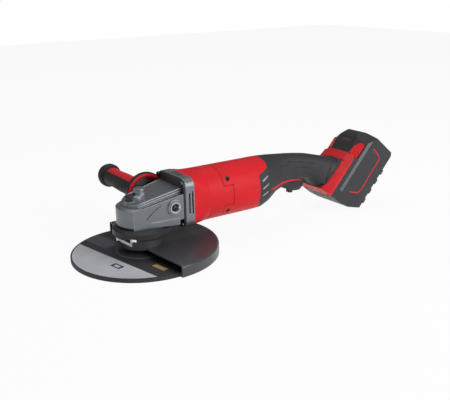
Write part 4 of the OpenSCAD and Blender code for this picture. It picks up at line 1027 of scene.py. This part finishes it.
@dataclass(frozen=True)
class FlareRing:
    """One ring of the grip's flared end, in the battery's own frame."""

    low: Spot
    high: Spot
    half_w: float
    squareness: float
    narrowing: float
    widest: float = 0.25

    def points(self, place: Matrix, count: int) -> list[Vector]:
        """Lays the ring's points.

        Args:
            place: where the battery's own frame stands.
            count: how many points the ring has.

        Returns:
            The points, in the tool's own frame.
        """
        points = []
        for turn in (2 * math.pi * k / count for k in range(count)):
            across, rise = (
                math.copysign(abs(part) ** (2 / self.squareness), part)
                for part in (math.cos(turn), math.sin(turn)))
            level = (rise + 1) / 2
            x, z = (low + (high - low) * level for low, high in zip(self.low, self.high))
            y = self.half_w * across * (1 + self.narrowing * (self.widest - level))
            points.append(place @ Vector((x, y, z)))
        return points


@dataclass
class RearHandle:
    """Grip, trigger and battery foot."""

    foot: Matrix = PACK_FRAME
    lip: tuple[Point, ...] = (
        (0.2322, -0.0402, 0.0762), (0.2458, -0.0340, 0.0762), (0.2650, -0.0239, 0.0768),
        (0.2827, -0.0189, 0.0771), (0.3015, -0.0158, 0.0755), (0.3220, -0.0137, 0.0730))
    lip_r: float = 0.0016
    flare: tuple[FlareRing, ...] = (
        FlareRing((-0.0475, -0.0035), (-0.0145, 0.0300), 0.0212, 2.4, 0.0),
        FlareRing((-0.0290, -0.0065), (-0.0200, 0.0600), 0.0270, 3.6, 0.12),
        FlareRing((-0.0262, -0.0088), (-0.0172, 0.0626), 0.0306, 5.0, 0.20),
        FlareRing((-0.0225, -0.0092), (-0.0145, 0.0632), 0.0310, 5.0, 0.22),
        FlareRing((-0.0205, -0.0075), (-0.0130, 0.0615), 0.0290, 5.0, 0.22))
    flare_points: int = 64

    def build(self, dresser: Dresser) -> None:
        """Dresses the rear handle.

        Args:
            dresser: the maker of its pieces.
        """
        dresser.dress(
            Body.MACHINE, grip_shell_left=RUBBER, grip_shell_right=RUBBER,
            vent_screens=GREY_PLASTIC, grip_lip=RED, battery_foot=RED)
        dresser.dress(Body.PADDLE, trigger_paddle=BLACK)
        dresser.dress(Body.LOCK_OFF, lock_off_lever=BLACK)
        dresser.paint(paddle_pin=BRIGHT, trigger_switch=POTTING, terminal_block=BLACK)
        self.red_lips(dresser)
        self.flared_end(dresser)

    def red_lips(self, dresser: Dresser) -> None:
        """Lays the red bead under each side of the grip.

        Args:
            dresser: the maker of its pieces.
        """
        for side, name in ((1, "left"), (-1, "right")):
            path = tuple((x, side * y, z) for x, y, z in self.lip)
            lip = bead("grip_bead_" + name, path, self.lip_r)
            dresser.add(lip, Body.MACHINE, RED, Slot.RED)

    def flared_end(self, dresser: Dresser) -> None:
        """Shapes the overmoulded end that the grip spreads into against the battery foot."""
        rings = [ring.points(self.foot, self.flare_points) for ring in self.flare]
        dresser.add(skin("grip_flare", rings), Body.MACHINE, RUBBER, Slot.RUBBER)


@dataclass
class BatteryPack:
    """The battery pack with its latches, charge gauge, side stripes and accent line."""

    foot: Matrix = PACK_FRAME
    half_w: float = 0.042
    corner: Point = (-0.0126, 0.023, 0.114)
    corner_normal: Point = (-0.690, 0.556, 0.464)
    ribs: Row = Row("pack_ribs", 4, (0.0, 0.0, 0.022), (0.0164, 0.0838, 0.0120), 0.0024)
    rib_start: Point = (0.0692, 0.0, 0.0290)
    stripe: Row = Row("pack_stripes", 3, (0.0026, 0.0, 0.0), (0.0016, 0.0012, 0.116))
    stripe_start: Spot = (0.0034, 0.0680)
    accent: Line = (
        (0.0277, 0.0208), (0.0473, 0.0304), (0.0506, 0.0387), (0.0494, 0.1074), (0.0433, 0.1127),
        (0.0218, 0.1149))
    accent_w: float = 0.0024
    accent_h: float = 0.0004
    accent_sunk: float = 0.0001
    lenses: Row = Row("gauge_lenses", 4, (0.0, 0.0046, 0.0), (0.0006, 0.0030, 0.0022), 0.0001)
    lens_start: Point = (-0.0119, -0.0069, 0.1058)

    def build(self, dresser: Dresser) -> None:
        """Dresses the battery pack.

        Args:
            dresser: the maker of its pieces.
        """
        dresser.dress(
            Body.BATTERY, self.corner_cuts(), pack_upper_case=CASE_BLACK, pack_lower_case=CASE_BLACK)
        dresser.dress(Body.LATCH_LEFT, pack_latch_left=RED)
        dresser.dress(Body.LATCH_RIGHT, pack_latch_right=RED)
        dresser.dress(Body.GAUGE, gauge_button=GAUGE)
        dresser.paint(pack_cells=CELL_WRAP, pack_board=BOARD)
        self.stripes(dresser)
        self.accent_line(dresser)
        for row, start, body, finish, slot in (
            (self.lenses, self.lens_start, Body.GAUGE, LENS, Slot.GAUGE),
            (self.ribs, self.rib_start, Body.BATTERY, CASE_BLACK, Slot.BLACK),
        ):
            data = row.mesh(dresser.finish(finish), self.foot @ Matrix.Translation(start))
            dresser.add(data, body, finish, slot)

    def corner_cuts(self) -> tuple[Cut, ...]:
        """Gives the planes that chamfer the two upper corners of the pack's front.

        Returns:
            The two planes, each a point and the normal of the side that goes.
        """
        turn = self.foot.to_3x3()
        sides = (Vector((1.0, side, 1.0)) for side in (1.0, -1.0))
        return tuple(
            (self.foot @ (Vector(self.corner) * way), turn @ (Vector(self.corner_normal) * way))
            for way in sides)

    def stripes(self, dresser: Dresser) -> None:
        """Lays the grey ribs along both sides of the pack.

        Args:
            dresser: the maker of its pieces.
        """
        both = bmesh.new()
        x, z = self.stripe_start
        for side in (-1, 1):
            start = self.foot @ Matrix.Translation((x, side * self.half_w, z))
            part = self.stripe.mesh(dresser.finish(STRIPE), start)
            both.from_mesh(part)
            bpy.data.meshes.remove(part)
        trim(both, self.corner_cuts())
        dresser.add(baked("pack_stripes", both), Body.BATTERY, STRIPE, Slot.BLACK)

    def accent_line(self, dresser: Dresser) -> None:
        """Lays the red accent line on the pack's left side.

        Args:
            dresser: the maker of its pieces.
        """
        data = ribbon("pack_accent", self.accent, self.accent_w, self.accent_h)
        side = self.accent_sunk - self.half_w
        stand = Matrix(((1, 0, 0, 0), (0, 0, -1, side), (0, 1, 0, 0), (0, 0, 0, 1)))
        data.transform(self.foot @ stand)
        dresser.add(data, Body.BATTERY, RED, Slot.RED)


@dataclass
class SideHandle:
    """The side handle with its guard flange and inlay."""

    def build(self, dresser: Dresser) -> None:
        """Dresses the side handle.

        Args:
            dresser: the maker of its pieces.
        """
        dresser.dress(
            Body.HANDLE, handle_stud=BRIGHT, handle_flange=BLACK, handle_ring=RED,
            handle_grip=DARK_RUBBER, handle_inlay=RED, handle_cap=DARK_RUBBER)


@dataclass(frozen=True)
class SoftBox:
    """A square lamp that hangs at a place and faces another."""

    name: str
    place: Point
    aim: Point
    size: float
    power: float

    def hang(self) -> None:
        """Hangs the lamp."""
        lamp = bpy.data.lights.new(self.name, "AREA")
        lamp.shape = "SQUARE"
        lamp.size = self.size
        lamp.energy = self.power
        item = bpy.data.objects.new(self.name, lamp)
        bpy.context.scene.collection.objects.link(item)
        item.location = self.place
        way = Vector(self.aim) - Vector(self.place)
        item.rotation_euler = way.to_track_quat("-Z", "Y").to_euler()


@dataclass
class Studio:
    """Floor, lamps, world and camera."""

    camera_place: Point = (-0.4764, -0.9474, 0.4255)
    right: Point = (0.826, -0.5635, -0.0155)
    up: Point = (0.1838, 0.2432, 0.9524)
    lens: float = 55.63
    sensor: float = 36.0
    nearest: float = 0.01
    floor_size: float = 8.0
    floor_drop: float = 0.0004
    floor_colour: Colour = (0.92, 0.92, 0.92)
    floor_glow: float = 0.93
    fill: float = 0.17
    boxes: tuple[SoftBox, ...] = (
        SoftBox("key_box", (0.95, -1.95, 1.15), (0.15, 0.0, 0.08), 1.9, 42.0),
        SoftBox("top_box", (0.2, 0.3, 2.3), (0.15, 0.0, 0.05), 2.0, 19.0),
        SoftBox("left_box", (-1.6, 1.1, 1.3), (0.0, 0.0, 0.08), 1.0, 2.0))

    def build(self) -> None:
        """Sets up the studio."""
        bpy.context.scene.view_settings.view_transform = "Standard"
        self.floor()
        for box in self.boxes:
            box.hang()
        self.world()
        self.camera()

    def floor(self) -> None:
        """Lays the pale floor, which shows white to the camera and in reflections."""
        half = self.floor_size / 2
        data = bpy.data.meshes.new("studio_floor")
        corners = [(-half, -half, 0), (half, -half, 0), (half, half, 0), (-half, half, 0)]
        data.from_pydata(corners, [], [(0, 1, 2, 3)])
        floor = bpy.data.objects.new("studio_floor", data)
        bpy.context.scene.collection.objects.link(floor)
        floor.location = (0, 0, -self.floor_drop)
        pattern = Pattern("pale_floor")
        pattern.feed(
            pattern.shader, Base_Color=(*self.floor_colour, 1.0), Roughness=0.85,
            Specular_IOR_Level=0.1)
        path = pattern.node("ShaderNodeLightPath")
        seen = pattern.math(
            "MAXIMUM", path.outputs["Is Camera Ray"], path.outputs["Is Glossy Ray"])
        glow = pattern.node("ShaderNodeEmission")
        pattern.feed(glow, Color=(1.0, 1.0, 1.0, 1.0), Strength=1.0)
        mix = pattern.node("ShaderNodeMixShader")
        pattern.put(mix.inputs[0], pattern.math("MULTIPLY", seen, self.floor_glow))
        pattern.put(mix.inputs[1], pattern.shader.outputs["BSDF"])
        pattern.put(mix.inputs[2], glow.outputs["Emission"])
        pattern.put(pattern.surface, mix.outputs["Shader"])
        data.materials.append(pattern.material)

    def world(self) -> None:
        """Fills the surroundings with even white light."""
        world = bpy.data.worlds.new("studio")
        world.use_nodes = True
        tree = world.node_tree
        background = tree.nodes["Background"]
        path = tree.nodes.new("ShaderNodeLightPath")
        strength = tree.nodes.new("ShaderNodeMapRange")
        tree.links.new(path.outputs["Is Camera Ray"], strength.inputs["Value"])
        strength.inputs["To Min"].default_value = self.fill
        strength.inputs["To Max"].default_value = 1.0
        background.inputs["Color"].default_value = (1.0, 1.0, 1.0, 1.0)
        tree.links.new(strength.outputs["Result"], background.inputs["Strength"])
        bpy.context.scene.world = world

    def camera(self) -> None:
        """Stands the camera."""
        data = bpy.data.cameras.new("studio_camera")
        data.lens = self.lens
        data.sensor_width = self.sensor
        data.sensor_fit = "HORIZONTAL"
        data.clip_start = self.nearest
        camera = bpy.data.objects.new("studio_camera", data)
        bpy.context.scene.collection.objects.link(camera)
        right = Vector(self.right).normalized()
        up = Vector(self.up)
        up = (up - right * up.dot(right)).normalized()
        turn = Matrix((right, up, right.cross(up))).transposed()
        camera.matrix_world = Matrix.Translation(self.camera_place) @ turn.to_4x4()
        bpy.context.scene.camera = camera


def main() -> None:
    """Builds the studio and dresses each sub-assembly in order."""
    logging.basicConfig(level=logging.INFO, format="%(message)s")
    Studio().build()
    dresser = Dresser()
    for part in (GearHead(), WheelSet(), MotorBody(), RearHandle(), BatteryPack(), SideHandle()):
        part.build(dresser)
        LOG.info("%s is dressed", type(part).__name__)


if __name__ == "__main__":
    main()
